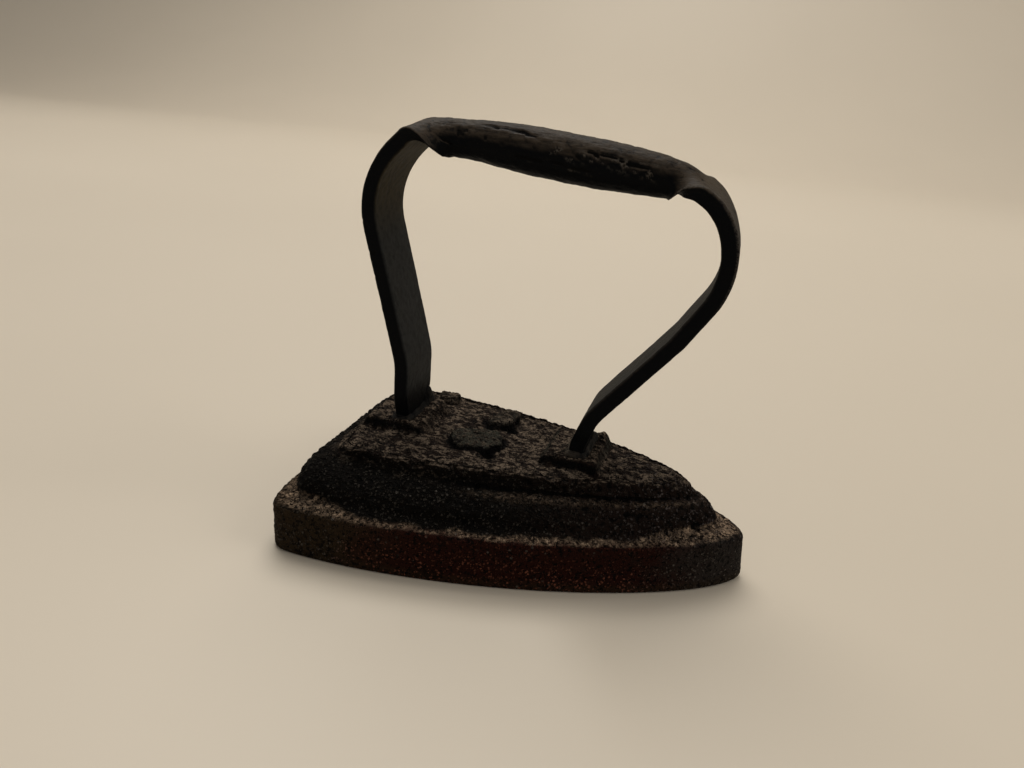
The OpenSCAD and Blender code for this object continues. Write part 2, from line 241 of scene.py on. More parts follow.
def outward(normal, points, row):
    """The normals, turned round if those of a row point towards the row's middle."""
    inwards = (normal[row] * (points[row] - points[row].mean(0))).sum() < 0
    return -normal if inwards else normal


def grid_faces(ids, closed):
    """Two triangles for each cell of a grid of vertex numbers, without those that shrink to a line."""
    if closed:
        ids = np.concatenate([ids, ids[:, :1]], 1)
    a, b = ids[:-1, :-1], ids[1:, :-1]
    c, d = ids[1:, 1:], ids[:-1, 1:]
    halves = [np.stack(corners, -1).reshape(-1, 3) for corners in ((a, d, c), (a, c, b))]
    faces = np.concatenate(halves)
    whole = (faces[:, 0] != faces[:, 1]) & (faces[:, 1] != faces[:, 2]) & (faces[:, 2] != faces[:, 0])
    return faces[whole]


def signed_volume(points, faces):
    """Volume inside a closed mesh, negative where its faces point inwards: the sum of a . (b x c) / 6."""
    a, b, c = (points[faces[:, i]] for i in range(3))
    return np.einsum("ij,ij->i", a, np.cross(b, c)).sum() / 6


def make_piece(name, points, faces, values, slot, node, material):
    """A smooth mesh piece from points in mm, held inside the CAD box.

    Each entry of values is a number for every point, which the material reads by its name.
    """
    low, high = (np.array(corner) / MM for corner in CAD_BOX)
    points = np.clip(points, low, high)
    if signed_volume(points, faces) < 0:
        faces = faces[:, ::-1]
    mesh = bpy.data.meshes.new(name)
    mesh.vertices.add(len(points))
    mesh.vertices.foreach_set("co", (points * MM).astype(np.float32).ravel())
    mesh.loops.add(faces.size)
    mesh.loops.foreach_set("vertex_index", faces.astype(np.int32).ravel())
    mesh.polygons.add(len(faces))
    mesh.polygons.foreach_set("loop_start", np.arange(0, faces.size, 3, dtype=np.int32))
    mesh.polygons.foreach_set("use_smooth", np.ones(len(faces), bool))
    for key, numbers in values.items():
        layer = mesh.attributes.new(key, "FLOAT", "POINT")
        layer.data.foreach_set("value", numbers.astype(np.float32).ravel())
    mesh.update(calc_edges=True)
    mesh.validate()
    mesh.materials.append(material)
    piece = bpy.data.objects.new(name, mesh)
    bpy.context.scene.collection.objects.link(piece)
    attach(piece, "root")
    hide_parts(node)


# Shader expressions

class Value:
    """A number that varies over a surface. Its operators add Math nodes to its material."""

    def __init__(self, paint, socket):
        self.paint = paint
        self.socket = socket

    def math(self, operation, *values):
        return self.paint.node("ShaderNodeMath", {"operation": operation}, list(values))

    def __add__(self, other):
        return self.math("ADD", self, other)

    def __sub__(self, other):
        return self.math("SUBTRACT", self, other)

    def __rsub__(self, other):
        return self.math("SUBTRACT", other, self)

    def __mul__(self, other):
        return self.math("MULTIPLY", self, other)

    __radd__ = __add__
    __rmul__ = __mul__

    def smooth(self, low, high):
        """A smooth step from 0 at low to 1 at high."""
        inputs = {"Value": self, "From Min": low, "From Max": high}
        return self.paint.node("ShaderNodeMapRange", {"interpolation_type": "SMOOTHSTEP"}, inputs)

    def clamp(self):
        return self.paint.node("ShaderNodeClamp", {}, {"Value": self})


class Paint:
    """A material under construction: adds nodes and hands back their outputs."""

    def __init__(self, name):
        self.material = bpy.data.materials.new(name)
        self.material.use_nodes = True
        self.tree = self.material.node_tree
        self.shader = self.tree.nodes["Principled BSDF"]
        self.place = self.node("ShaderNodeTexCoord", {}, {}, "Object")

    def plug(self, socket, value):
        if isinstance(value, Value):
            self.tree.links.new(value.socket, socket)
        elif socket.type == "RGBA":
            socket.default_value = (*value, 1)
        else:
            socket.default_value = value

    def node(self, kind, settings, inputs, output=0):
        """Adds a node of a kind, makes its settings, then fills its inputs by number or by name."""
        made = self.tree.nodes.new(kind)
        for key, value in settings.items():
            setattr(made, key, value)
        pairs = enumerate(inputs) if isinstance(inputs, list) else inputs.items()
        for key, value in pairs:
            self.plug(made.inputs[key], value)
        return Value(self, made.outputs[output])

    def noise(self, cell_mm, detail, roughness=0.55, stretch=(1, 1, 1)):
        """Noise from 0 to 1 whose lumps are about cell_mm across, drawn out along each axis by stretch."""
        scale = tuple(1 / (cell_mm * MM * part) for part in stretch)
        where = self.node("ShaderNodeMapping", {}, {"Vector": self.place, "Scale": scale})
        inputs = {"Vector": where, "Scale": 1.0, "Detail": detail, "Roughness": roughness}
        return self.node("ShaderNodeTexNoise", {}, inputs)

    def specks(self, cell_mm):
        """Distance to the nearest of scattered points, in cells of cell_mm."""
        return self.node("ShaderNodeTexVoronoi", {}, {"Vector": self.place, "Scale": 1 / (cell_mm * MM)})

    def attribute(self, name):
        return self.node("ShaderNodeAttribute", {"attribute_name": name}, {}, "Fac")

    def part(self, vector, axis):
        return self.node("ShaderNodeSeparateXYZ", {}, [vector], axis)

    def place_mm(self, axis):
        """Place along the iron, X, or height above the table, Z, in millimetres."""
        return self.part(self.place, axis) * (1 / MM)

    def facing_up(self):
        """1 where the surface faces up, 0 on walls and below."""
        return self.part(self.node("ShaderNodeNewGeometry", {}, {}, "Normal"), "Z")

    def blend(self, share, first, second):
        """A colour between first and second. The node holds the share between 0 and 1."""
        mixer = self.tree.nodes.new("ShaderNodeMix")
        mixer.data_type = "RGBA"
        share_input, first_input, second_input, colour_output = 0, 6, 7, 2
        self.plug(mixer.inputs[share_input], share)
        self.plug(mixer.inputs[first_input], first)
        self.plug(mixer.inputs[second_input], second)
        return Value(self, mixer.outputs[colour_output])

    def bump(self, height, depth_mm, below=None):
        """A normal tilted by a height that stands for depth_mm where it is 1."""
        inputs = {"Height": height, "Distance": depth_mm * MM, "Strength": 1.0}
        if below is not None:
            inputs["Normal"] = below
        return self.node("ShaderNodeBump", {}, inputs, "Normal")

    def finish(self, **sockets):
        """Plugs in the shader's sockets, whose spaces are written as underscores."""
        for name, value in sockets.items():
            self.plug(self.shader.inputs[name.replace("_", " ")], value)
        return self.material


# Materials

# Black of dirt, and painted shade in the hollows of the grain, the groove, the cracks and round the worn
# marks
DIRT_AND_SHADE = (0.0016, 0.0014, 0.0012)
# Pale specks and grain tips: bared iron, and painted glints on the grains
BARE_SPECK_AND_GLINT = (0.13, 0.115, 0.097)
GRAIN_TIP = (0.055, 0.047, 0.038)
NOSE_TIP = (0.125, 0.104, 0.1)
RED_TIP = (0.17, 0.06, 0.036)
GREY_TIP = (0.085, 0.07, 0.058)
BROWN_IRON = (0.0125, 0.0072, 0.0052)
# Grey of the worn marks, also used as painted light on the toe boss's end slopes
MARK_AND_LIT_GREY = (0.034, 0.0325, 0.0245)

# Heights between which the casting's colours change, in mm
FLANGE_FADE = (15.2, 16.4)
FOOT_FADE = (1.5, 4.5)
PALE_FLANGE = (5, 12)
BROWN_RISE = (25.5, 28)
DUST_RISE = (28.0, 30.8)

# Places along the iron between which they change, and how far noise moves those places, in mm
OLIVE_TO_RUST = (-36, -10)
RUST_TO_NOSE = (58, 72)
IRON_TO_BROWN = (8, 44)
TIER_TIPS = (34, 60)
FLANGE_TIPS = (50, 68)
HEEL_TIPS = (-40, -15)
TIP_CRUST = (46, 66)
SMOOTH_NOSE = (44, 60)
WANDER = 26


def casting_material(size):
    """Sand-cast iron: maroon flange, black tier with pale grains of bared iron and painted glints, dusty
    top, tan crust on the ledge, and painted shade in hollows.
    """
    paint = Paint("sand_cast_iron")
    relief = paint.attribute("relief")
    ledge = paint.attribute("ledge")
    along = paint.place_mm("X")
    height = paint.place_mm("Z")
    patches = paint.noise(16, 2)
    blotches = paint.noise(5, 3)
    grit = paint.noise(1.2, 2, 0.75)
    grains = paint.noise(2.3, 3, 0.7)
    dashes = paint.noise(2.1, 3, 0.75, stretch=(1.7, 1, 1))
    up = paint.facing_up().smooth(0.38, 0.92)
    flange = 1 - height.smooth(*FLANGE_FADE)
    wander = along + WANDER * patches

    # Colours of the iron from heel to tip
    reds = paint.blend(wander.smooth(*OLIVE_TO_RUST), size.olive, size.rust)
    greys = paint.blend(wander.smooth(*RUST_TO_NOSE), reds, size.nose)
    footed = paint.blend((1 - height.smooth(*FOOT_FADE)) * 0.6, greys, size.olive)
    brown = wander.smooth(*IRON_TO_BROWN) + height.smooth(*BROWN_RISE) * (0.25 + 0.75 * up)
    dark = paint.blend(brown.clamp() * 0.75, size.iron, BROWN_IRON)
    base = paint.blend(flange * (1 - 0.6 * blotches.smooth(0.5, 0.7)), dark, footed)

    # Pale tips of the sand grains: bared iron and painted glints
    small_rounds = 1 - paint.specks(0.8).smooth(0.18, 0.35)
    rounds = (1 - paint.specks(1.25).smooth(0.23, 0.44) + 0.8 * small_rounds).clamp()
    shown = (0.3 + 0.7 * blotches.smooth(0.35, 0.6)) * (1 - 0.65 * flange * height.smooth(*PALE_FLANGE))
    tips_and_glints = rounds * grit.smooth(0.36, 0.54) * shown
    tier_tip = paint.blend(wander.smooth(*TIER_TIPS), GRAIN_TIP, NOSE_TIP)
    greyness = wander.smooth(*FLANGE_TIPS) + (1 - wander.smooth(*HEEL_TIPS))
    flange_tip = paint.blend(greyness, RED_TIP, GREY_TIP)
    tip_and_glint_colour = paint.blend(flange, tier_tip, flange_tip)
    grained = paint.blend(tips_and_glints * (0.55 + 0.25 * flange), base, tip_and_glint_colour)

    # Dust on the top, the worn marks with painted light on the toe boss's end slopes, and the crust along
    # the ledge with a painted highlight on the groove's lip
    settled = up * (height + 5 * patches - 0.02 * along).smooth(*DUST_RISE)
    dusted = settled * (0.03 + 0.97 * dashes.smooth(0.46, 0.56)) * relief.smooth(-1.1, 0.1)
    dusty = paint.blend(dusted, grained, size.dust)
    grey_and_lit = paint.attribute("mark") * (0.25 + 0.75 * grit.smooth(0.42, 0.56))
    marked = paint.blend(grey_and_lit, dusty, MARK_AND_LIT_GREY)
    crumbs = grit.smooth(0.42, 0.6) * (0.35 + 0.65 * grains.smooth(0.4, 0.55))
    crumbs = crumbs * (1 + 0.4 * wander.smooth(*TIP_CRUST))
    crusty = paint.blend(ledge * (0.28 + 0.72 * crumbs), marked, size.crust)

    # Pale specks of bared iron and painted glints, and dark pits of dirt and painted shade
    bare_and_glint = (1 - paint.specks(2.6).smooth(0.12, 0.19)) * blotches.smooth(0.42, 0.56)
    bare_and_glint = bare_and_glint * (1 - 0.8 * settled) * relief.smooth(-0.4, 0.2) * 0.6
    specked = paint.blend(bare_and_glint, crusty, BARE_SPECK_AND_GLINT)
    pits = (1 - relief.smooth(-1.1, -0.5)) * 0.9 + (1 - grit.smooth(0.38, 0.48)) * 0.8
    colour = paint.blend(pits, specked, DIRT_AND_SHADE)

    rough = (0.62 + 0.2 * blotches + 0.15 * dusted + 0.1 * ledge).clamp()
    nose = along.smooth(*SMOOTH_NOSE) * flange
    fine = paint.bump(grit * (1 - 0.5 * nose), 0.6)
    middling = paint.bump(0.5 * grains * (1 - 0.6 * nose) + 0.5 * rounds, 1.2, fine)
    normal = paint.bump(dashes * up, 2.0, middling)
    return paint.finish(Base_Color=colour, Roughness=rough, Normal=normal, Specular_IOR_Level=0.04)


# Grey of the inner faces, partly a painted reflection of the surroundings, and tan higher up
INNER_GREY_AND_REFLECTION = (0.023, 0.0235, 0.0228)
INNER_TAN = (0.036, 0.0292, 0.0175)

# Heights between which the strap's inner face turns from grey to tan, in mm
INNER_RISE = (88, 106)


def handle_material(size):
    """Forged iron: blue-black scale, grey-brown where hands wore it, pale where its scale came off and where
    highlights and a reflection are painted, and black in pits and cracks, with painted shadow in the cracks.
    """
    paint = Paint("forged_strap_iron")
    relief = paint.attribute("relief")
    wear = paint.attribute("wear")
    flaked_and_sheen = paint.attribute("flake_and_sheen")
    patches = paint.noise(8, 3)
    mottled = paint.noise(1.9, 4, 0.6)
    grit = paint.noise(0.6, 3, 0.7)
    drawn = paint.noise(0.9, 3, 0.6, stretch=(6, 1, 1))
    worn = wear * paint.facing_up().smooth(0.02, 0.62) * (0.5 + patches)
    worn = worn * mottled.smooth(0.2, 0.52) * (0.6 + 0.4 * drawn.smooth(0.4, 0.55))
    base = paint.blend(worn, size.scale, size.worn)
    # Inner faces: grey that is partly a painted reflection, turning to tan higher up
    inner_and_reflection_colour = paint.blend(paint.place_mm("Z").smooth(*INNER_RISE), INNER_GREY_AND_REFLECTION, INNER_TAN)
    inner = paint.attribute("inner") * (0.55 + 0.45 * mottled.smooth(0.35, 0.6))
    faced = paint.blend(inner, base, inner_and_reflection_colour)
    # Pale where scale is lost, and painted highlights and reflection on the crack lips and the toe bend
    pale = paint.blend(flaked_and_sheen * grit.smooth(0.42, 0.54), faced, size.flake_and_sheen)
    # Black in pits and cracks: dirt, and painted shadow in the cracks
    colour = paint.blend((1 - relief.smooth(-0.9, -0.25)) * 0.9, pale, DIRT_AND_SHADE)
    rough = (0.5 + 0.22 * mottled + 0.2 * flaked_and_sheen - 0.12 * wear).clamp()
    fine = paint.bump(grit, 0.07)
    lengthways = paint.bump(drawn * wear, 0.2, fine)
    normal = paint.bump(mottled, 0.16, lengthways)
    return paint.finish(Base_Color=colour, Roughness=rough, Normal=normal, Specular_IOR_Level=0.05)


PACKING_DARK = (0.01, 0.009, 0.008)
PACKING_DUST = (0.034, 0.027, 0.02)
PACKING_TAN = (0.05, 0.038, 0.026)


def packing_material():
    """Run-in packing: rough dark metal, tan and cracked where its surface has rusted."""
    paint = Paint("run_in_packing")
    blotches = paint.noise(2.6, 3)
    grit = paint.noise(0.6, 3, 0.7)
    dusty = paint.blend(blotches.smooth(0.45, 0.65) * 0.6, PACKING_DARK, PACKING_DUST)
    rusted = paint.blend(paint.attribute("tan") * grit.smooth(0.25, 0.5), dusty, PACKING_TAN)
    # Black in the cracks and low lumps
    cracked = (1 - paint.attribute("relief").smooth(-0.7, 0)) * 0.9
    colour = paint.blend(cracked, rusted, DIRT_AND_SHADE)
    rough = (0.55 + 0.3 * blotches).clamp()
    normal = paint.bump(grit, 0.5)
    return paint.finish(Base_Color=colour, Roughness=rough, Normal=normal, Specular_IOR_Level=0.1)


# The casting

# Shape of the sole's outline, as in the solids
WIDEST_FROM_HEEL = 15.4
TIP_POWER = 1.7
SIDE_POWER = 1.39
HEEL_POWER = 5.5
TIP_BLUNT = 2.6
BLUNT_POWER = 4
BLUNT_FADE = 8
DENSE_TURNS = 20001


def power_of(value, power):
    """|value|^(2/p) with the value's own sign, which turns a circle into |x|^p + |y|^p = 1."""
    return np.sign(value) * np.abs(value) ** (2 / power)


def outline(turn, tip, side, heel, size):
    """x and y of a level: |x/a|^p + |y/b|^q = 1, drawn by a turn, with its own p, q and a at each end.

    tip, side and heel are how far the level lies inside the sole's outline there. A term that fades
    away from the tip blunts it.
    """
    length, width = size.length / MM, size.width / MM
    tip_x = length / 2 - tip
    heel_x = heel - length / 2
    wide_x = mix(heel_x, tip_x, WIDEST_FROM_HEEL / length)
    front = np.cos(turn) >= 0
    reach = np.where(front, tip_x - wide_x, wide_x - heel_x)
    x = wide_x + reach * power_of(np.cos(turn), np.where(front, TIP_POWER, HEEL_POWER))
    y = (width / 2 - side) * power_of(np.sin(turn), np.where(front, SIDE_POWER, HEEL_POWER))
    blunt = TIP_BLUNT * power_of(np.sin(turn), BLUNT_POWER) * np.abs(np.cos(turn)) ** BLUNT_FADE
    return x, y + np.where(front, blunt, 0)


def even_turns(half_count, size):
    """Turns from 0 to pi whose points lie at even distances along the sole's outline."""
    dense = np.linspace(0, np.pi, DENSE_TURNS)
    x, y = outline(dense, 0, 0, 0, size)
    along = travelled(np.hypot(np.diff(x), np.diff(y)))
    return np.interp(np.linspace(0, along[-1], half_count + 1), along, dense)


# Set-backs of each tier at the tip, the sides and the heel, and the other sizes of the wall, in mm
LEDGE = np.array([6.4, 4.0, 2.2])
TIER = np.array([7.7, 12.3, 7.2])
CAP = np.array([4.6, 2.4, 4.0])
LEDGE_RISE = 1.9
TIER_HEIGHT = 7.2
TIER_BULGE = 0.8
STEP_WIDTH = 0.7
STEP_HEIGHT = 0.8
CAP_RADIUS = 2.0
TIP_DRAFT = np.array([2.0, 0, 0])
SOLE_EDGE = 1.9
SOLE_EDGE_SPREAD = np.array([1.7, 0.7, 0.7])
LEVEL_SPACING = 0.56
GROOVE_SPACING = 0.3
ROUND_STEPS = 9
TIER_STEPS = 24


def casting_profile(size):
    """Rows of z and the three insets, from the sole's edge to the edge of the flat top.

    The flange and the flat top end in quarter rounds, and the flange leans back at the tip. The lower
    tier's inset is a blend of the rise u and the quarter round 1 - sqrt(1 - u^2).
    """
    flange, radius = size.flange_height / MM, size.flange_radius / MM
    top = (size.boss_top - size.boss_height) / MM
    quarter = np.linspace(0, np.pi / 2, ROUND_STEPS)
    wall = [(SOLE_EDGE * (1 - np.cos(t)), SOLE_EDGE * SOLE_EDGE_SPREAD * (1 - np.sin(t))) for t in quarter]
    wall += [(flange - radius * (1 - np.sin(t)), radius * (1 - np.cos(t)) * np.ones(3)) for t in quarter]
    wall = [(z, inset + TIP_DRAFT * z / flange) for z, inset in wall]
    foot = radius + TIP_DRAFT + LEDGE
    brow = foot + TIER
    ledge_z = flange + LEDGE_RISE
    tier_z = ledge_z + TIER_HEIGHT
    tier = []
    for u in np.linspace(0, 1, TIER_STEPS):
        back = mix(u, 1 - np.sqrt(1 - u * u), TIER_BULGE)
        tier.append((ledge_z + TIER_HEIGHT * u, foot + back * TIER))
    step = [(tier_z + STEP_HEIGHT / 2, brow + STEP_WIDTH), (tier_z + STEP_HEIGHT, brow + STEP_WIDTH / 2)]
    cap = step[-1:]
    cap += [(top - CAP_RADIUS * (1 - np.sin(t)), brow + CAP - CAP_RADIUS * np.cos(t)) for t in quarter]
    levels = []
    for part, spacing in ((wall + tier[:-2], LEVEL_SPACING), (tier[-3:] + step, GROOVE_SPACING),
                          (cap, LEVEL_SPACING)):
        rows = np.array([(z, side, tip, heel) for z, (tip, side, heel) in part])
        rows = spaced(rows, spacing)[:, [0, 2, 1, 3]]
        levels.append(rows[1:] if levels else rows)
    return np.concatenate(levels)


# How far wear reaches round a step, where it starts and over what rise, in mm and a share of the height
SOFTENING = 2.6
SOFT_FROM = 0.68
SOFT_RUN = 3
BEYOND_EDGE = np.linspace(0.5, 8, 16)


def softened(profile):
    """The profile with its upper steps worn away: a weighted mean over nearby rows.

    It starts at a share of the height, SOFT_FROM. The flat top carries on inwards beyond the last row,
    so that its edge sags a little.
    """
    along = travelled(np.hypot(np.diff(profile[:, 0]), np.diff(profile[:, 2])))
    beyond = profile[-1] + BEYOND_EDGE[:, None] * np.array([0, 1, 1, 1])
    rows = np.concatenate([profile, beyond])
    at = np.concatenate([along, along[-1] + BEYOND_EDGE])
    weight = bell((along[:, None] - at[None]) / SOFTENING) * np.gradient(at)[None]
    mean = weight @ rows / weight.sum(1, keepdims=True)
    start = mix(profile[0, 0], profile[-1, 0], SOFT_FROM)
    return mix(profile, mean, rise(profile[:, :1], start, start + SOFT_RUN))


def sand_grain(points, coarse):
    """Height of the sand-cast skin, about -1 to 1: waves, round lumps and pits, more where it is coarse."""
    waves = layered_noise(points, 9, 31, 2)
    lumps = round_lumps(points / np.array([1.5, 1, 1]), 1.45, 11)
    fine = layered_noise(points, 1.2, 21, 2)
    pits = rise(layered_noise(points, 1.4, 51, 2, (1.8, 1, 1)), 0.2, 0.5)
    return 0.35 * waves + coarse * (0.75 * (lumps - 0.38) + 0.4 * fine - 0.6 * pits)


def grain_depth(relief, size, crust=0):
    """How far the skin and its crust lie below the solids, in mm: the tops of lumps just reach them."""
    skin = size.skin / MM
    return np.minimum(size.grain / MM * (relief - 0.25) + crust, skin) - skin


PACKING_GAP = 1.0
COLLAR_LAP = 0.6
BOSS_HALF_WIDTH = 10.1
BOSS_ROUNDING = 0.6

# How far noise moves a boss's back, front and sides, in mm
BOSS_RAGGED = (0.54, 0.81, 0.45)


def leg_faces(box):
    """x of a leg's two faces in its socket, from the box of its packing."""
    around = PACKING_GAP + COLLAR_LAP
    return box[0].x / MM + around, box[1].x / MM - around


HEEL_LEG = leg_faces(HEEL_BOX)
TOE_LEG = leg_faces(TOE_BOX)
MIDDLE = (HEEL_LEG[0] + TOE_LEG[1]) / 2


def worn_boss(x, y, leg, reach, spread, seed):
    """A boss from 0 to 1: a pad that reaches behind and in front of a leg, with ragged edges.

    Its edges slope over a spread behind it, in front and beside it.
    """
    noise = layered_noise(plan(x, y), 3.2, seed, 3)
    sides = (x - leg[0] + reach[0], leg[1] + reach[1] - x, BOSS_HALF_WIDTH - np.abs(y))
    inside = np.inf
    for within, slope, ragged in zip(sides, spread, BOSS_RAGGED):
        inside = np.minimum(inside, (within + slope + ragged * noise) / slope)
    return mix(np.clip(inside, 0, 1), ramp(inside), BOSS_ROUNDING)


MARK_RAGGED = 0.17
MARK_EDGE = (1.06, 0.97)
# Where the ring of painted shadow round a worn mark lies, and its width
MARK_SHADOW_RIM = 1.05
SHADOW_RIM_REACH = 0.1


def worn_mark(x, y, centre, reach, turn_deg, power, seed):
    """A worn raised patch and a ring of painted shadow round it.

    The patch is 1 inside |u/a|^p + |v/b|^p = 1, ragged by noise, and the ring, which only darkens the colour
    as painted shadow, is a bell round it.
    """
    turn = math.radians(turn_deg)
    dx, dy = x - centre[0], y - centre[1]
    u = (dx * math.cos(turn) + dy * math.sin(turn)) / reach[0]
    v = (-dx * math.sin(turn) + dy * math.cos(turn)) / reach[1]
    ragged = MARK_RAGGED * layered_noise(plan(x, y), 2.6, seed, 3)
    edge = (np.abs(u) ** power + np.abs(v) ** power) ** (1 / power) + ragged
    return rise(edge, *MARK_EDGE), bell((edge - MARK_SHADOW_RIM) / SHADOW_RIM_REACH)


def lump(x, y, centre, radius, seed):
    """A ragged round lump from 0 to 1: exp(-(d/r)^2) with a noisy distance d."""
    ragged = 0.3 * layered_noise(plan(x, y), 1.8, seed, 2)
    return bell(np.hypot(x - centre[0], y - centre[1]) / radius + ragged)


RIPPLE_HEIGHT = 0.6
DISC_HEIGHT = 1.7
BAR_HEIGHT = 1.9
PELLET_HEIGHT = 2.2

# Hollows beside the marks: ahead of the middle, across, radius, depth and seed
HOLLOWS = (
    (3, -12.6, 1.7, 1.7, 93),
    (-9, -11, 2.4, 1.3, 92),
    (-5.5, -3.6, 2, 0.8, 94),
    (4, 7.5, 2.2, 1.9, 97),
    (-5, 10, 2, 1.4, 98),
)


def top_height(x, y, size):
    """Height of the top above its flat level, where it is grey, on the worn marks and as painted light on
    the toe boss's end slopes, and where it is darkened as painted shade.

    Bark-like ripples, the two bosses with a lump beside each, and worn marks with hollows beside them.
    """
    boss_height = size.boss_height / MM
    near_side = rise(y, -8, -10)
    heel_boss = worn_boss(x, y, HEEL_LEG, (8.3, 4.0), (1.7, 3.6, 1.9), 81)
    toe_boss = worn_boss(x, y, TOE_LEG, (6.0, 3.6), (3, 2.8, 2), 85)
    heel_slope, toe_slope = (4 * boss * (1 - boss) for boss in (heel_boss, toe_boss))
    # Painted shade on the bosses' slopes on the near side
    shaded = (heel_slope + toe_slope) * near_side
    # Painted light on the toe boss's end slopes away from the near side, coloured with the worn marks' grey
    grey_and_lit = toe_slope * rise(np.abs(x - sum(TOE_LEG) / 2), 6, 8) * (1 - near_side)
    ripples = layered_noise(plan(x, y), 1.25, 71, 3, (2.7, 1, 1))
    height = RIPPLE_HEIGHT * ripples + boss_height * (heel_boss + toe_boss)
    height = height + 2.6 * lump(x, y, (HEEL_LEG[1] + 3.5, 8.6), 3.4, 83) * (1 - 0.4 * heel_boss)
    height = height + 1.9 * lump(x, y, (TOE_LEG[1] + 3.2, 9.2), 2.1, 87)
    height = height - 1.5 * lump(x, y, (TOE_LEG[0] - 4.4, 2.5), 1.5, 89) * toe_boss
    disc, disc_shadow_rim = worn_mark(x, y, (MIDDLE - 3, -6), (8.2, 7), 20, 2.3, 91)
    bar, bar_shadow_rim = worn_mark(x, y, (MIDDLE, 13.5), (7.8, 3.7), 70, 2.3, 95)
    pellet, pellet_shadow_rim = worn_mark(x, y, (HEEL_LEG[0] + 8, 21.7), (3.7, 3.7), 0, 2, 99)
    height = height + DISC_HEIGHT * disc + BAR_HEIGHT * bar + PELLET_HEIGHT * pellet
    for ahead, across, radius, depth, seed in HOLLOWS:
        height = height - depth * lump(x, y, (MIDDLE + ahead, across), radius, seed)
    # Grey: the worn marks, and painted light on the toe boss's end slopes
    grey = np.clip(disc + 0.4 * bar + 0.3 * pellet + 0.8 * grey_and_lit, 0, 1)
    # Painted shade: rings round the marks and the bosses' near slopes
    dark = disc_shadow_rim + 0.6 * bar_shadow_rim + 0.4 * pellet_shadow_rim + 0.9 * shaded
    return height, grey, dark


def cut_sockets(x, y, height, size):
    """The height with the sockets sunk into it, down to the packing's foot."""
    floor = HEEL_BOX[0].z / MM - (size.boss_top - size.boss_height) / MM
    for box in (HEEL_BOX, TOE_BOX):
        low, high = (np.array(corner) / MM for corner in box)
        within_x = (x > low[0] + COLLAR_LAP) & (x < high[0] - COLLAR_LAP)
        within_y = (y > low[1] + COLLAR_LAP) & (y < high[1] - COLLAR_LAP)
        height = np.where(within_x & within_y, floor, height)
    return height


# Points round a ring, and rows across the top and the sole
AROUND = 720
ROWS = 84
SOLE_ROWS = 8

# How coarse the grain is, and the sizes of the worn forms, in mm
COARSE_FLANGE = 0.62
COARSE_NOSE = 0.3
COARSE_TIER = 1.1
COARSE_TOP = 0.75
CRUST_HEIGHT = 0.9
TOP_EDGE_RUN = 3.5
GROOVE_DEPTH = 0.5
GROOVE_REACH = 0.27
LIP_HEIGHT = 0.35
LIP_REACH = 0.6
LIP_BELOW = 0.75
HEEL_FULLNESS = 1.3

# How much of the solids' crispness the near and the far side keep
CRISP_SHARE = 0.12
FAR_CRISP_SHARE = 0.9


def ledge_crust(wall, ledge_z):
    """1 on the ledge between its two ragged edges, 0 elsewhere. The crust is narrower at both ends."""
    x, z = wall[..., 0], wall[..., 2]
    ends = rise(x, -42, -56) + rise(x, 34, 52)
    outer = z + 0.5 * layered_noise(wall, 3, 63, 2) - ledge_z
    inner = z - 0.6 * layered_noise(wall, 4, 67, 2) - 1.7 * ends - ledge_z
    return rise(outer, -2.3, -1.7) * rise(inner, -0.95, -1.45)


def worn_wall(wall, normal, ledge_z, size):
    """The wall moved along its normals by the grain, with the groove and its lip, and what paints it, with
    painted shadow in the groove and a painted highlight on the lip.

    The flange is finer than the tier and the tip is smooth. The groove is a bell round the step, and the
    lip a bell under it. Both fade out towards the heel, where the tier is fuller.
    """
    x, z = wall[..., 0], wall[..., 2]
    above_tier = z - ledge_z - TIER_HEIGHT
    coarse = mix(mix(COARSE_FLANGE, COARSE_NOSE, rise(x, 36, 61)), COARSE_TIER, rise(z - ledge_z, -2, 0.5))
    relief = sand_grain(wall, coarse)
    crumbs = round_lumps(wall, 1.5, 61)
    ledge = ledge_crust(wall, ledge_z)
    fade = rise(x, -40, 0) * (1 - 0.5 * rise(x, 38, 54))
    ragged = 0.25 * layered_noise(wall, 4, 65, 2)
    groove = bell((above_tier - STEP_HEIGHT / 2 + ragged) / GROOVE_REACH) * fade
    lip = bell((above_tier + LIP_BELOW + ragged) / LIP_REACH) * fade
    depth = grain_depth(relief, size, CRUST_HEIGHT * ledge * (crumbs - 0.3))
    depth = depth - GROOVE_DEPTH * groove + LIP_HEIGHT * lip
    fuller = HEEL_FULLNESS * bell((above_tier + 1.5) / 3.2) - 0.7 * bell((z - ledge_z) / 1.6)
    depth = (depth + fuller * rise(x, -48, -60)) * rise(z, 0, 1.5)
    wall = wall + normal * depth[..., None]
    wall[0, :, 2] = 0
    # Crust on the ledge, with some crust colour on the lip as a painted highlight
    tan = np.maximum(ledge, 0.3 * lip * rise(x, -20, 0))
    # In the colour values the groove is darkened as painted shadow and the lip is lightened as painted
    # highlight
    return wall, relief - 1.2 * groove + 0.6 * lip, tan * np.clip(0.35 + crumbs * 1.6, 0, 1)


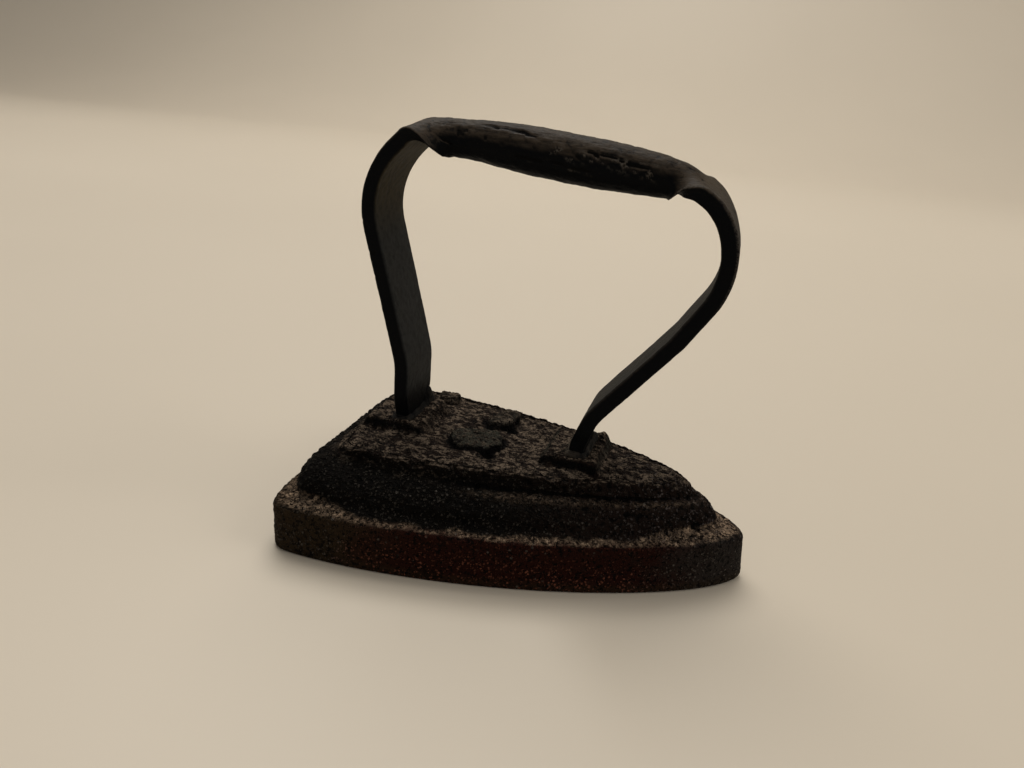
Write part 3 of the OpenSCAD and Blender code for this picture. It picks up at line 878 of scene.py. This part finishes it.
def casting_wall(profile, size):
    """The wall's rings, one for each row of the profile, and what paints them.

    The wall is soft with wear on the near side, and crisp, as in the solids, on the far side.
    """
    turn = even_turns(AROUND // 2, size)
    turn = np.concatenate([turn, 2 * np.pi - turn[-2:0:-1]])
    rings = []
    for rows in (softened(profile), profile):
        x, y = outline(turn[None], rows[:, 1:2], rows[:, 2:3], rows[:, 3:4], size)
        rings.append(np.stack([x, y, np.broadcast_to(rows[:, :1], x.shape)], -1))
    x, y = rings[1][..., :1], rings[1][..., 1:2]
    near = CRISP_SHARE * rise(x, -34, 10) * (1 - 0.75 * rise(x, 28, 48))
    wall = mix(*rings, np.maximum(near, FAR_CRISP_SHARE * rise(y, 4, 16)))
    normal = outward(grid_normals(wall), wall, len(wall) // 3)
    return worn_wall(wall, normal, size.flange_height / MM + LEDGE_RISE, size)


def columns(ring, ring_ids, rows, first_id):
    """Points inside a ring of the wall, and vertex numbers of the whole grid across it.

    A column runs across the iron between the two points of the ring that share an x, and the grid's
    border is the ring's own vertices.
    """
    half = AROUND // 2
    near = (-np.arange(half + 1)) % AROUND
    far = np.arange(half + 1)
    share = np.linspace(0, 1, rows + 1)
    grid = mix(ring[near][:, None], ring[far][:, None], share[None, :, None])
    ids = np.full((half + 1, rows + 1), -1)
    ids[:, 0] = ring_ids[near]
    ids[:, -1] = ring_ids[far]
    ids[0] = ring_ids[0]
    ids[half] = ring_ids[half]
    inner = grid[1:half, 1:rows]
    ids[1:half, 1:rows] = first_id + np.arange(inner[..., 0].size).reshape(inner.shape[:2])
    return inner, ids


def casting_top(top, top_z, size):
    """The top's points set to their heights, and what paints them.

    The level runs from the wall's own edge to the flat top over TOP_EDGE_RUN.
    """
    x, y = top[..., 0], top[..., 1]
    relief = sand_grain(np.stack([x, y, np.full_like(x, top_z)], -1), COARSE_TOP)
    raised, marks, dark = top_height(x, y, size)
    border = np.minimum(y - y[:, :1], y[:, -1:] - y)
    level = mix(top[..., 2], top_z, ramp(border / TOP_EDGE_RUN))
    top[..., 2] = level + cut_sockets(x, y, raised + grain_depth(relief, size), size)
    # Darker where the top is sunk, and darker still under the painted shade
    sunk_and_shaded = np.clip(1.2 * raised, -1.2, 0.2) - 1.3 * dark
    return top, relief + sunk_and_shaded, marks


def casting_mesh(size):
    """Points, faces and values of the casting: rings up the wall, then the top and the sole in columns."""
    profile = casting_profile(size)
    wall, relief, ledge = casting_wall(profile, size)
    wall_ids = np.arange(ledge.size).reshape(ledge.shape)
    top, top_ids = columns(wall[-1], wall_ids[-1], ROWS, ledge.size)
    # The top's grey: worn marks, and painted light on the toe boss's end slopes
    top, top_relief, marks = casting_top(top, profile[-1, 0], size)
    sole, sole_ids = columns(wall[0], wall_ids[0], SOLE_ROWS, ledge.size + marks.size)
    sole[..., 2] = 0
    points = np.concatenate([part.reshape(-1, 3) for part in (wall, top, sole)])
    faces = [grid_faces(wall_ids, True), grid_faces(top_ids, False)[:, ::-1], grid_faces(sole_ids, False)]
    no_wall, no_top, no_sole = (np.zeros(part[..., 0].size) for part in (wall, top, sole))
    values = {
        "relief": np.concatenate([relief.ravel(), top_relief.ravel(), no_sole]),
        "ledge": np.concatenate([ledge.ravel(), no_top, no_sole]),
        "mark": np.concatenate([no_wall, marks.ravel(), no_sole]),
    }
    return points, np.concatenate(faces), values


# The handle

# Leans, falls and rises of the strap's path, as in the solids
HEEL_LEAN = 15.6
TOE_THIGH_LEAN = 30.8
TOE_LEAN = 37.5
TOE_SHIN_LEAN = 18.8
GRIP_FALL = 4.5
GRIP_RISE = 90.6
HEEL_KNEE_RISE = 18.4
TOE_WAIST_RISE = 38.5
TOE_KNEE_RISE = 12
TOE_ANKLE_RISE = 2.5
BEND_RADII = (21, 27, 25.6, 24, 12, 8)

# Widths of the strap and the grip, and where the grip ends, as in the solids
TANG_WIDTH = 16.4
TANG_RUN = 8
GRIP_TAPER = 0.2
GRIP_PROUD = 1.5
GRIP_WALL = 2.2
SEAM = 1.2
GRIP_FROM_HEEL_LEG = 16.8
GRIP_PAST_TOE_LEG = 13.8
HEEL_END = HEEL_LEG[0] + GRIP_FROM_HEEL_LEG
TOE_END = TOE_LEG[1] + GRIP_PAST_TOE_LEG

# How the roll and the trough past it run out and the strap tilts, a little other than in the solids
ROLL_LEAD = 4
ROLL_RUN = 15
CURL_LEAD = 4.5
CURL_RUN = 13
NOTCH_RUN = 6
TROUGH_START = 0.5
TROUGH_RUN = 9.5
THICK_RUN = 4
TOE_TILT = 5.6
TILT_LEAD = 3
TILT_RUN = 9
TILT_FADE = (24, 72)

# Swells of the strap beside the grip's ends: height, distance past the end and reach
HEEL_SHOULDER = (1.15, -13, 4)
HEEL_SINK = (-0.4, -2, 4)
TOE_DIP = (-0.6, 9, 3.5)

# Numbers of points round the strap, in a bend and in a corner, and steps along it between two heights
SECTION_POINTS = 150
BEND_POINTS = 60
CORNER_POINTS = 6
DENSE_STATIONS = 6000
LEG_STEP = 0.8
GRIP_STEP = 1 / 3
FINE_RISE = (104, 110)


def unit(angle):
    """The direction of an angle."""
    return np.array([math.cos(angle), math.sin(angle)])


def left_of(angle):
    """The direction a quarter turn to the left of an angle."""
    return np.array([-math.sin(angle), math.cos(angle)])


def handle_corners(casting):
    """Corners of the strap's outer face from foot to foot, and the height of the grip's line."""
    boss_z = casting.boss_top / MM
    foot_z = HEEL_BOX[0].z / MM
    heel_x, toe_x = HEEL_LEG[0], TOE_LEG[1]
    heel_tan, thigh_tan, toe_tan, shin_tan, fall = (
        math.tan(math.radians(a)) for a in (HEEL_LEAN, TOE_THIGH_LEAN, TOE_LEAN, TOE_SHIN_LEAN, GRIP_FALL))
    grip_z = boss_z + GRIP_RISE
    heel_knee = np.array([heel_x, boss_z + HEEL_KNEE_RISE])
    toe_ankle = np.array([toe_x, boss_z + TOE_ANKLE_RISE])
    toe_knee = toe_ankle + (TOE_KNEE_RISE - TOE_ANKLE_RISE) * np.array([shin_tan, 1])
    toe_waist = toe_knee + (TOE_WAIST_RISE - TOE_KNEE_RISE) * np.array([toe_tan, 1])
    heel_rise = (grip_z - fall * heel_x - heel_knee[1]) / (1 - fall * heel_tan)
    toe_rise = (grip_z - fall * toe_waist[0] - toe_waist[1]) / (1 + fall * thigh_tan)
    heel_top = heel_knee + heel_rise * np.array([-heel_tan, 1])
    toe_top = toe_waist + toe_rise * np.array([thigh_tan, 1])
    feet = np.array([heel_x, foot_z]), np.array([toe_x, foot_z])
    return [feet[0], heel_knee, heel_top, toe_top, toe_waist, toe_knee, toe_ankle, feet[1]], grip_z


def handle_path(casting):
    """Places and headings along the strap's outer face, in the plane of the iron's middle.

    Straight runs joined by arcs: an arc of radius r starts r tan(turn / 2) before its corner.
    """
    corners, grip_z = handle_corners(casting)
    headings = np.radians([90, 90 + HEEL_LEAN, -GRIP_FALL, -90 - TOE_THIGH_LEAN, -90 - TOE_LEAN,
                           -90 - TOE_SHIN_LEAN, -90])
    places, angles = [corners[0]], [headings[0]]
    for corner, radius, start, end in zip(corners[1:], BEND_RADII, headings, headings[1:]):
        side = np.sign(end - start)
        begin = corner - radius * math.tan(abs(end - start) / 2) * unit(start)
        middle = begin + side * radius * left_of(start)
        for angle in np.linspace(start, end, BEND_POINTS):
            places.append(middle - side * radius * left_of(angle))
            angles.append(angle)
    places.append(corners[-1])
    angles.append(headings[-1])
    return np.array(places), np.array(angles), grip_z


def handle_stations(casting):
    """The path resampled in steps of LEG_STEP along the legs and GRIP_STEP along the grip."""
    places, angles, grip_z = handle_path(casting)
    along = travelled(np.linalg.norm(np.diff(places, axis=0), axis=1))
    dense = np.linspace(0, along[-1], DENSE_STATIONS)
    density = mix(1 / LEG_STEP, 1 / GRIP_STEP, rise(np.interp(dense, along, places[:, 1]), *FINE_RISE))
    counted = travelled((density[1:] + density[:-1]) / 2 * np.diff(dense))
    at = np.interp(np.linspace(0, counted[-1], int(counted[-1])), counted, dense)
    x, z, angle = (np.interp(at, along, column) for column in (places[:, 0], places[:, 1], angles))
    return x, z, angle, grip_z


def rounded_section(half, thick, radius, share):
    """Across and depth of a rounded rectangle at shares of its way round, for arrays of half widths.

    It starts at the middle of the outer face. Straight sides and quarter circles follow each other.
    """
    turns = np.linspace(0, np.pi / 2, CORNER_POINTS)
    corner = np.stack([np.sin(turns), 1 - np.cos(turns)], 1)
    across = []
    depth = []
    for sx, flip in ((1, False), (1, True), (-1, True), (-1, False)):
        rows = corner if (sx == 1) != flip else corner[::-1]
        for cx, cz in rows:
            across.append(sx * (half - radius + radius * cx))
            depth.append(radius * cz if not flip else thick - radius * cz)
    across = np.stack([0 * half, *across, 0 * half], 1)
    depth = np.stack([0 * thick, *depth, 0 * thick], 1)
    steps = np.hypot(np.diff(across, axis=1), np.diff(depth, axis=1))
    rows = []
    for way, p, q in zip(map(travelled, steps), across, depth):
        at = share * way[-1]
        rows.append((np.interp(at, way, p), np.interp(at, way, q)))
    return np.array([row[0] for row in rows]), np.array([row[1] for row in rows])


# Cracks of the grip: where each starts and ends along the iron, its distance round the grip from the top,
# how far it drifts along its way, and its width. The near side is positive.
CRACKS = (
    (-38, -30, 8.4, 2.2, 0.34),
    (-28, -23.5, 3.2, -0.4, 0.24),
    (-24, -4, 4.0, 1.6, 0.34),
    (3, 27, 7.0, 0.8, 0.3),
    (-26, 6, -5.2, 1.5, 0.34),
    (0, 22, -8.6, -0.6, 0.3),
    (-14, 12, 11.8, 0.7, 0.24),
)
CRACK_FADE = 4
CRACK_WANDER = 0.7


def grip_cracks(x, across):
    """Depth from 0 to 1 of the cracks along the grip, and how pale the lip beside them is: bared iron and a
    painted highlight.
    """
    wander = layered_noise(plan(x, across), 1, 131, 3, (5, 2, 1))
    broken = layered_noise(plan(x, across), 1.6, 133, 2, (2.5, 1, 1))
    crack = 0
    bare_and_glint = 0
    for start, end, line, drift, width in CRACKS:
        inside = ramp((x - start) / CRACK_FADE) * ramp((end - x) / CRACK_FADE)
        off = across - line - drift * (x - start) / (end - start) - CRACK_WANDER * wander
        crack = np.maximum(crack, inside * ramp((width - np.abs(off)) / width * 1.5))
        lip = bell((off * np.sign(line) - 0.75) / 0.4)
        # The pale lip beside a crack: bared iron with a painted highlight
        bare_and_glint = np.maximum(bare_and_glint, inside * lip * rise(broken, -0.1, 0.3))
    return crack, bare_and_glint


def grip_chips(x, across):
    """How chipped the grip is, from 0 to 1: clear spots of noise along a band of each side."""
    line = mix(9, 8.2, rise(x, -4, 26))
    near = bell((across - line) / 1.5) * rise(x, -6, -1) * rise(x, 29, 26)
    far = bell((across + 9.5) / 1.8) * rise(x, -20, -14) * rise(x, 14, 8)
    spots = layered_noise(plan(x, across), 1.05, 171, 2, (1.7, 1, 1))
    return rise(spots, 0.12, 0.32) * (near + 0.7 * far)


def swell(x, end, height, ahead, reach):
    """A bell of a height and reach, at a distance past an end of the grip."""
    return height * bell((x - end - ahead) / reach)


def strap_widths(x, z, angle, grip_z, size, casting):
    """Half width, thickness, curvature, widening, lift and tilt of the strap at each station.

    The grip's radius tapers as the square of the distance from its middle. The roll widens the strap to
    the way round the grip less the seam, and bends it to one over the radius.
    """
    boss_z = casting.boss_top / MM
    upper = z > (boss_z + HEEL_KNEE_RISE + grip_z) / 2
    past_cut = ramp((x - TOE_END - TROUGH_START) / TROUGH_RUN)
    rolled = ramp((x - HEEL_END + ROLL_LEAD + ROLL_RUN) / ROLL_RUN)
    widened = upper * rolled * (1 - ramp((x - TOE_END) / NOTCH_RUN))
    curl = upper * ramp((x - HEEL_END + CURL_LEAD + CURL_RUN) / CURL_RUN) * (1 - past_cut)
    off = np.abs(x - (HEEL_END + TOE_END) / 2) / ((TOE_END - HEEL_END) / 2)
    full = size.grip_diameter / MM / 2
    radius = full * (1 - GRIP_TAPER * np.minimum(1, off) ** 2)
    strap = mix(TANG_WIDTH, size.strap_width / MM, ramp((z - boss_z) / TANG_RUN)) / 2
    half = mix(strap, np.pi * radius - SEAM / 2, widened)
    thinned = np.minimum(widened, 1 - ramp((x - TOE_END + THICK_RUN / 2) / THICK_RUN))
    thick = mix(size.strap_thickness / MM, GRIP_WALL, thinned)
    swells = swell(x, HEEL_END, *HEEL_SHOULDER) + swell(x, HEEL_END, *HEEL_SINK)
    lift = curl * (GRIP_PROUD - full + radius) + upper * (swells + swell(x, TOE_END, *TOE_DIP))
    faded = rise(-np.degrees(angle), *TILT_FADE)
    tilt = np.radians(TOE_TILT) * upper * ramp((x - TOE_END + TILT_LEAD) / TILT_RUN) * (1 - faded)
    return half, thick, np.maximum(curl / radius, 1e-5), widened, lift, tilt


# Depths of the hammer marks, the skin and the pits of the strap, in mm
HAMMER_DEPTH = 0.13
SKIN_DEPTH = 0.07
PIT_DEPTH = 0.12

# Places along the iron and heights between which the strap's wear and inner face change, and where its
# painted highlight on the toe bend's near rim and its painted reflection on the bend's outer face lie, in mm
WORN_RISE = (104, 118)
INNER_START = (40, 46)
INNER_FADE = (5, 15)
RIM_HIGHLIGHT_X = (30, 33)
RIM_HIGHLIGHT_Z = (78, 90)
BACK_REFLECTION_X = (43, 48)
BACK_REFLECTION_Z = (82, 92)

# Depths below the outer face over which it ends
FACE_END = (0.8, 0.4)


def carried_section(x, z, angle, across, depth, bend, lift, tilt):
    """Points of a section carried along the path.

    A section point at s across and d deep, bent to a curvature k, goes to
    (sin(ks)(1/k - d), (1 - cos(ks))/k + d cos(ks)). It is then lifted and turned by the tilt.
    """
    side = np.sin(bend * across) * (1 / bend - depth)
    drop = (1 - np.cos(bend * across)) / bend + depth * np.cos(bend * across) - lift
    cos_tilt, sin_tilt = np.cos(tilt), np.sin(tilt)
    side, drop = side * cos_tilt - drop * sin_tilt, drop * cos_tilt + side * sin_tilt
    return np.stack([x + np.sin(angle) * drop, -side, z - np.cos(angle) * drop], -1)


def worn_strap(points, x, z, across, depth, half, thick, widened, size, casting):
    """The strap's points moved by hammer marks, pits, cracks and chips, and what paints them, with painted
    shadow in the cracks and painted highlights and reflection.
    """
    outer = rise(depth, thick * 0.6, thick * 0.6 - 0.3)
    grip = outer * widened
    crack, bare_and_glint = grip_cracks(x + 0 * across, across)
    chips = grip_chips(x + 0 * across, across) * grip
    hammer = layered_noise(points, 7, 141, 2, (1.6, 1, 1.6))
    skin = layered_noise(points, 1.3, 151, 3, (1.8, 1, 1))
    pits = rise(layered_noise(points, 2.4, 161, 3), 0.34, 0.59) * outer
    broken = layered_noise(points, 0.9, 181, 2)
    moved = HAMMER_DEPTH * hammer + SKIN_DEPTH * skin - PIT_DEPTH * pits
    moved = moved + grip * (0.12 * skin + 0.2 * bare_and_glint - size.crack / MM * crack)
    moved = moved + chips * (0.45 * broken - 0.2)
    above_boss = z - casting.boss_top / MM
    normal = outward(grid_normals(points), points, 12)
    points = points + normal * (moved * rise(above_boss, 1, 4))[..., None]

    edge = rise(np.abs(across) - half, -1.9, -0.4) * (1 - widened)
    top = rise(points[..., 2], *WORN_RISE)
    inner = rise(depth - thick, -0.35, -0.15) * (1 - widened) * rise(z, *INNER_START)
    wear = np.clip(0.35 + 0.65 * top * outer + 0.4 * edge, 0, 1) * (1 - 0.75 * inner)
    # Cracks darken the colour as painted shadow
    relief = np.clip(0.5 * skin - 0.9 * pits - 1.7 * crack * grip, -1.5, 1)
    flake_and_sheen = np.clip(0.5 * grip * bare_and_glint * (1 - crack) * rise(skin, -0.35, 0.05) + 1.1 * chips, 0, 1)
    face = rise(depth, *FACE_END)
    # Painted highlight along the toe bend's near upper rim, and painted reflection on the bend's outer face
    rim_highlight = bell((across - half + 1.0) / 0.6) * face * rise(x, *RIM_HIGHLIGHT_X) * rise(z, *RIM_HIGHLIGHT_Z)
    back = face * rise(x, *BACK_REFLECTION_X) * rise(z, *BACK_REFLECTION_Z)
    flake_and_sheen = np.maximum(flake_and_sheen, np.maximum(0.95 * rim_highlight, 0.45 * back))
    inner = inner * (1 - 0.55 * rise(x, *INNER_FADE))
    return points, {"relief": relief, "wear": wear, "flake_and_sheen": flake_and_sheen, "inner": inner}


def handle_mesh(size, casting):
    """Points, faces and values of the strap: rings of its section, closed to a point at each foot."""
    x, z, angle, grip_z = handle_stations(casting)
    form = strap_widths(x, z, angle, grip_z, size, casting)
    half, thick = form[:2]
    rounding = np.minimum(size.edge_radius / MM, thick * 0.42)
    around = np.linspace(0, 1, SECTION_POINTS, endpoint=False)
    across, depth = rounded_section(half, thick, rounding, around)
    x, z, angle, half, thick, bend, widened, lift, tilt = (row[:, None] for row in (x, z, angle, *form))
    points = carried_section(x, z, angle, across, depth, bend, lift, tilt)
    points, values = worn_strap(points, x, z, across, depth, half, thick, widened, size, casting)
    ids = np.arange(across.size).reshape(across.shape)
    poles = points[[0, -1]].mean(1)
    first, last = (np.full((1, SECTION_POINTS), ids.size + number) for number in (0, 1))
    faces = grid_faces(np.concatenate([first, ids, last]), True)
    points = np.concatenate([points.reshape(-1, 3), poles])
    values = {key: np.concatenate([number.ravel(), [0, 0]]) for key, number in values.items()}
    return points, faces, values


# The packing

PLUG_POWER = 7
PLUG_POINTS = 150
PLUG_SPACING = 0.4
SOCKET_SLACK = 0.06
COLLAR_FOOT = 0.5
COLLAR_SLOPE = 0.3
MOUND_HEIGHT = 1.5
MOUND_SINK = 0.5
LEG_OVERLAP = 0.3


def packing_profile(foot_z, boss_z):
    """Rows of a reach out from the leg, a z and a share of the climb, from the foot up and back down."""
    gap, collar = PACKING_GAP - SOCKET_SLACK, PACKING_GAP + COLLAR_LAP
    start_z = boss_z - COLLAR_FOOT
    rows = [(gap, foot_z, 0), (gap, start_z - COLLAR_SLOPE, 0), (collar, start_z, 0)]
    for u in np.linspace(0.1, 1, 12):
        rows.append((mix(collar, 0.2, u), start_z + MOUND_HEIGHT * ramp(u) ** 0.8, ramp(u)))
    rows += [(-LEG_OVERLAP, start_z + MOUND_HEIGHT - MOUND_SINK, 1), (-LEG_OVERLAP, foot_z, 0)]
    return spaced(np.array(rows), PLUG_SPACING)


def packing_mesh(box, climb, tan_side, seed, casting):
    """Points, faces and values of a packing: a plug in its socket, with a mound that climbs the leg.

    Rings of a superellipse run up the outside, over the mound and down the leg's faces. The mound is
    highest at the far front corner of the leg, by climb millimetres more than elsewhere.
    """
    low, high = leg_faces(box)
    boss_z = casting.boss_top / MM
    rows = packing_profile(box[0].z / MM, boss_z)
    turn = np.linspace(0, 2 * np.pi, PLUG_POINTS, endpoint=False)
    corner = rise(np.sin(turn), -0.15, 0.65) * rise(np.cos(turn), -0.35, 0.15)
    reach = rows[:, :1] * (1 + 0.9 * corner * (rows[:, 1:2] > boss_z - COLLAR_FOOT))
    x = (low + high) / 2 + ((high - low) / 2 + reach) * power_of(np.cos(turn), PLUG_POWER)
    y = (TANG_WIDTH / 2 + reach) * power_of(np.sin(turn), PLUG_POWER)
    z = rows[:, 1:2] + climb * corner * rows[:, 2:3]
    points = np.stack([x, y, z], -1)
    lumps = layered_noise(points, 2.2, seed, 3)
    cracks = rise(np.abs(layered_noise(points, 4.5, seed + 9, 2)), 0.07, 0.02)
    shown = rise(points[..., 2] - boss_z, -0.6, 0.2)
    points[..., 2] += shown * (0.7 * lumps - 0.5 * cracks)
    points[..., 0] += shown * 0.3 * layered_noise(points, 3, seed + 3, 2)
    ids = np.arange(x.size).reshape(x.shape)
    faces = grid_faces(np.concatenate([ids, ids[:1]]), True)
    rusted = np.broadcast_to(tan_side * ramp(0.3 - np.cos(turn)), x.shape)
    return points.reshape(-1, 3), faces, {"relief": (lumps - 1.5 * cracks).ravel(), "tan": rusted.ravel()}


# The stage and the camera

# The photograph's camera, in millimetres and degrees, and its focal length in widths of the picture
CAMERA_PLACE = (48.15, -207.6, 133.4)
CAMERA_TURN = 15.4
CAMERA_PITCH = 21.37
CAMERA_ROLL = 5.29
CAMERA_FOCAL = 0.7138
SENSOR_WIDTH = 36
NEAR_CLIP = 0.01

# Each lamp's place in metres, width, share of the lamp power, and colour
LAMPS = {
    "overhead": ((-0.7, 1.3, 2.7), 2.4, 1, (1, 0.98, 0.94)),
    "side": ((2.6, 0.3, 1.9), 1.8, 0.3, (1, 0.98, 0.95)),
}
LAMP_TARGET = (0, 0, 0.06)
FILL_COLOUR = (1, 0.985, 0.96, 1)

# The floor and backdrop, in metres
FLOOR_HALF = 6.0
FLOOR_FRONT = -4.0
FLOOR_BACK = 3.0
BACKDROP_RADIUS = 1.2
BACKDROP_TOP = 4.0


def make_camera():
    """The camera, turned to its heading, pitched down and rolled."""
    turn, pitch, roll = (math.radians(a) for a in (CAMERA_TURN, CAMERA_PITCH, CAMERA_ROLL))
    right = Vector((math.cos(turn), math.sin(turn), 0))
    forward = Vector((-math.sin(turn) * math.cos(pitch), math.cos(turn) * math.cos(pitch), -math.sin(pitch)))
    upward = right.cross(forward)
    across = right * math.cos(roll) + upward * math.sin(roll)
    above = upward * math.cos(roll) - right * math.sin(roll)
    data = bpy.data.cameras.new("camera")
    data.sensor_width = SENSOR_WIDTH
    data.lens = SENSOR_WIDTH * CAMERA_FOCAL
    data.clip_start = NEAR_CLIP
    camera = bpy.data.objects.new("camera", data)
    turned = Matrix((across, above, -forward)).transposed().to_4x4()
    camera.matrix_world = Matrix.Translation(Vector(CAMERA_PLACE) * MM) @ turned
    bpy.context.scene.collection.objects.link(camera)
    bpy.context.scene.camera = camera


def make_lamp(name, place, width, power, colour):
    """A round area lamp that faces the iron."""
    data = bpy.data.lights.new(name, "AREA")
    data.shape = "DISK"
    data.size = width
    data.energy = power
    data.color = colour
    lamp = bpy.data.objects.new(name, data)
    lamp.location = place
    lamp.rotation_euler = (Vector(LAMP_TARGET) - Vector(place)).to_track_quat("-Z", "Y").to_euler()
    bpy.context.scene.collection.objects.link(lamp)


def make_world(fill):
    """Even light from all round."""
    world = bpy.data.worlds.new("soft_light")
    world.use_nodes = True
    background = world.node_tree.nodes["Background"]
    background.inputs["Color"].default_value = FILL_COLOUR
    background.inputs["Strength"].default_value = fill
    bpy.context.scene.world = world


def floor_mesh():
    """A floor that rises into a backdrop: a strip whose height is r(1 - cos t) along a quarter round."""
    t = np.linspace(0, np.pi / 2, 25)
    bend_y = FLOOR_BACK - BACKDROP_RADIUS
    flat_y = [FLOOR_FRONT, *np.linspace(FLOOR_FRONT + 0.5, bend_y, 12)]
    y = np.concatenate([flat_y, bend_y + BACKDROP_RADIUS * np.sin(t), [FLOOR_BACK]])
    z = np.concatenate([np.zeros(len(flat_y)), BACKDROP_RADIUS * (1 - np.cos(t)), [BACKDROP_TOP]])
    x = np.linspace(-FLOOR_HALF, FLOOR_HALF, 25)
    grid = np.stack(np.broadcast_arrays(x[None], y[:, None], z[:, None]), -1)
    ids = np.arange(grid[..., 0].size).reshape(grid.shape[:2])
    return grid.reshape(-1, 3), grid_faces(ids, False)


def floor_material(size):
    """Matt paper, a little cloudy."""
    paint = Paint("pale_floor")
    clouds = paint.node("ShaderNodeTexNoise", {}, {"Vector": paint.place, "Scale": 3.0, "Detail": 2.0})
    lighter = tuple(min(1, part * 1.04) for part in size.floor)
    colour = paint.blend(clouds, size.floor, lighter)
    return paint.finish(Base_Color=colour, Roughness=0.45 + 0.1 * clouds)


def make_floor(size):
    """The floor, with its pale material."""
    points, faces = floor_mesh()
    mesh = bpy.data.meshes.new("floor")
    mesh.from_pydata(points.tolist(), [], faces.tolist())
    mesh.polygons.foreach_set("use_smooth", np.ones(len(faces), bool))
    mesh.materials.append(floor_material(size))
    floor = bpy.data.objects.new("floor", mesh)
    bpy.context.scene.collection.objects.link(floor)


# The add-on

# Each packing's box, how far it climbs the leg, how tan it is behind the leg, and its seed
PACKINGS = {
    "heel_packing": (HEEL_BOX, 5, 0.25, 201),
    "toe_packing": (TOE_BOX, 0.6, 1, 221),
}


class IRON_OT_casting(bpy.types.Operator):
    """Make the casting with its sole, tiers, bosses and worn marks"""
    bl_idname = "iron.casting"
    bl_label = "Casting"

    def execute(self, context):
        size = context.scene.iron_casting
        make_piece("cast_body", *casting_mesh(size), "cast_body", "body", casting_material(size))
        return {"FINISHED"}


class IRON_OT_handle(bpy.types.Operator):
    """Make the forged handle with its rolled grip"""
    bl_idname = "iron.handle"
    bl_label = "Handle"

    def execute(self, context):
        size = context.scene.iron_handle
        mesh = handle_mesh(size, context.scene.iron_casting)
        make_piece("forged_handle", *mesh, "forged_handle", "handle", handle_material(size))
        return {"FINISHED"}


class IRON_OT_packing(bpy.types.Operator):
    """Make the packing round both tangs"""
    bl_idname = "iron.packing"
    bl_label = "Packing"

    def execute(self, context):
        material = packing_material()
        for node, form in PACKINGS.items():
            mesh = packing_mesh(*form, context.scene.iron_casting)
            make_piece(node + "_metal", *mesh, "packing", node, material)
        return {"FINISHED"}


class IRON_OT_stage(bpy.types.Operator):
    """Make the pale floor, the soft light and the camera"""
    bl_idname = "iron.stage"
    bl_label = "Stage"

    def execute(self, context):
        size = context.scene.iron_stage
        make_floor(size)
        make_world(size.fill)
        for name, (place, width, share, colour) in LAMPS.items():
            make_lamp(name, place, width, size.lamp_power * share, colour)
        make_camera()
        context.scene.view_settings.view_transform = "Standard"
        return {"FINISHED"}


class IRON_PT_panel(bpy.types.Panel):
    """Sizes and makers of the flat iron"""
    bl_label = "Flat iron"
    bl_space_type = "VIEW_3D"
    bl_region_type = "UI"
    bl_category = "Flat iron"

    def draw(self, context):
        for operator in OPERATORS:
            self.layout.operator(operator.bl_idname)
        for key in GROUPS:
            group = getattr(context.scene, key)
            for name in group.bl_rna.properties.keys():
                if name not in {"rna_type", "name"}:
                    self.layout.prop(group, name)


GROUPS = {"iron_casting": IronCastingSizes, "iron_handle": IronHandleSizes, "iron_stage": IronStageSizes}
OPERATORS = (IRON_OT_casting, IRON_OT_handle, IRON_OT_packing, IRON_OT_stage)
CLASSES = (*GROUPS.values(), *OPERATORS, IRON_PT_panel)


def register():
    for cls in CLASSES:
        bpy.utils.register_class(cls)
    for key, group in GROUPS.items():
        setattr(bpy.types.Scene, key, PointerProperty(type=group))


def unregister():
    for key in GROUPS:
        delattr(bpy.types.Scene, key)
    for cls in reversed(CLASSES):
        bpy.utils.unregister_class(cls)


def main():
    register()
    bpy.ops.iron.casting()
    bpy.ops.iron.handle()
    bpy.ops.iron.packing()
    bpy.ops.iron.stage()


if __name__ == "__main__":
    main()
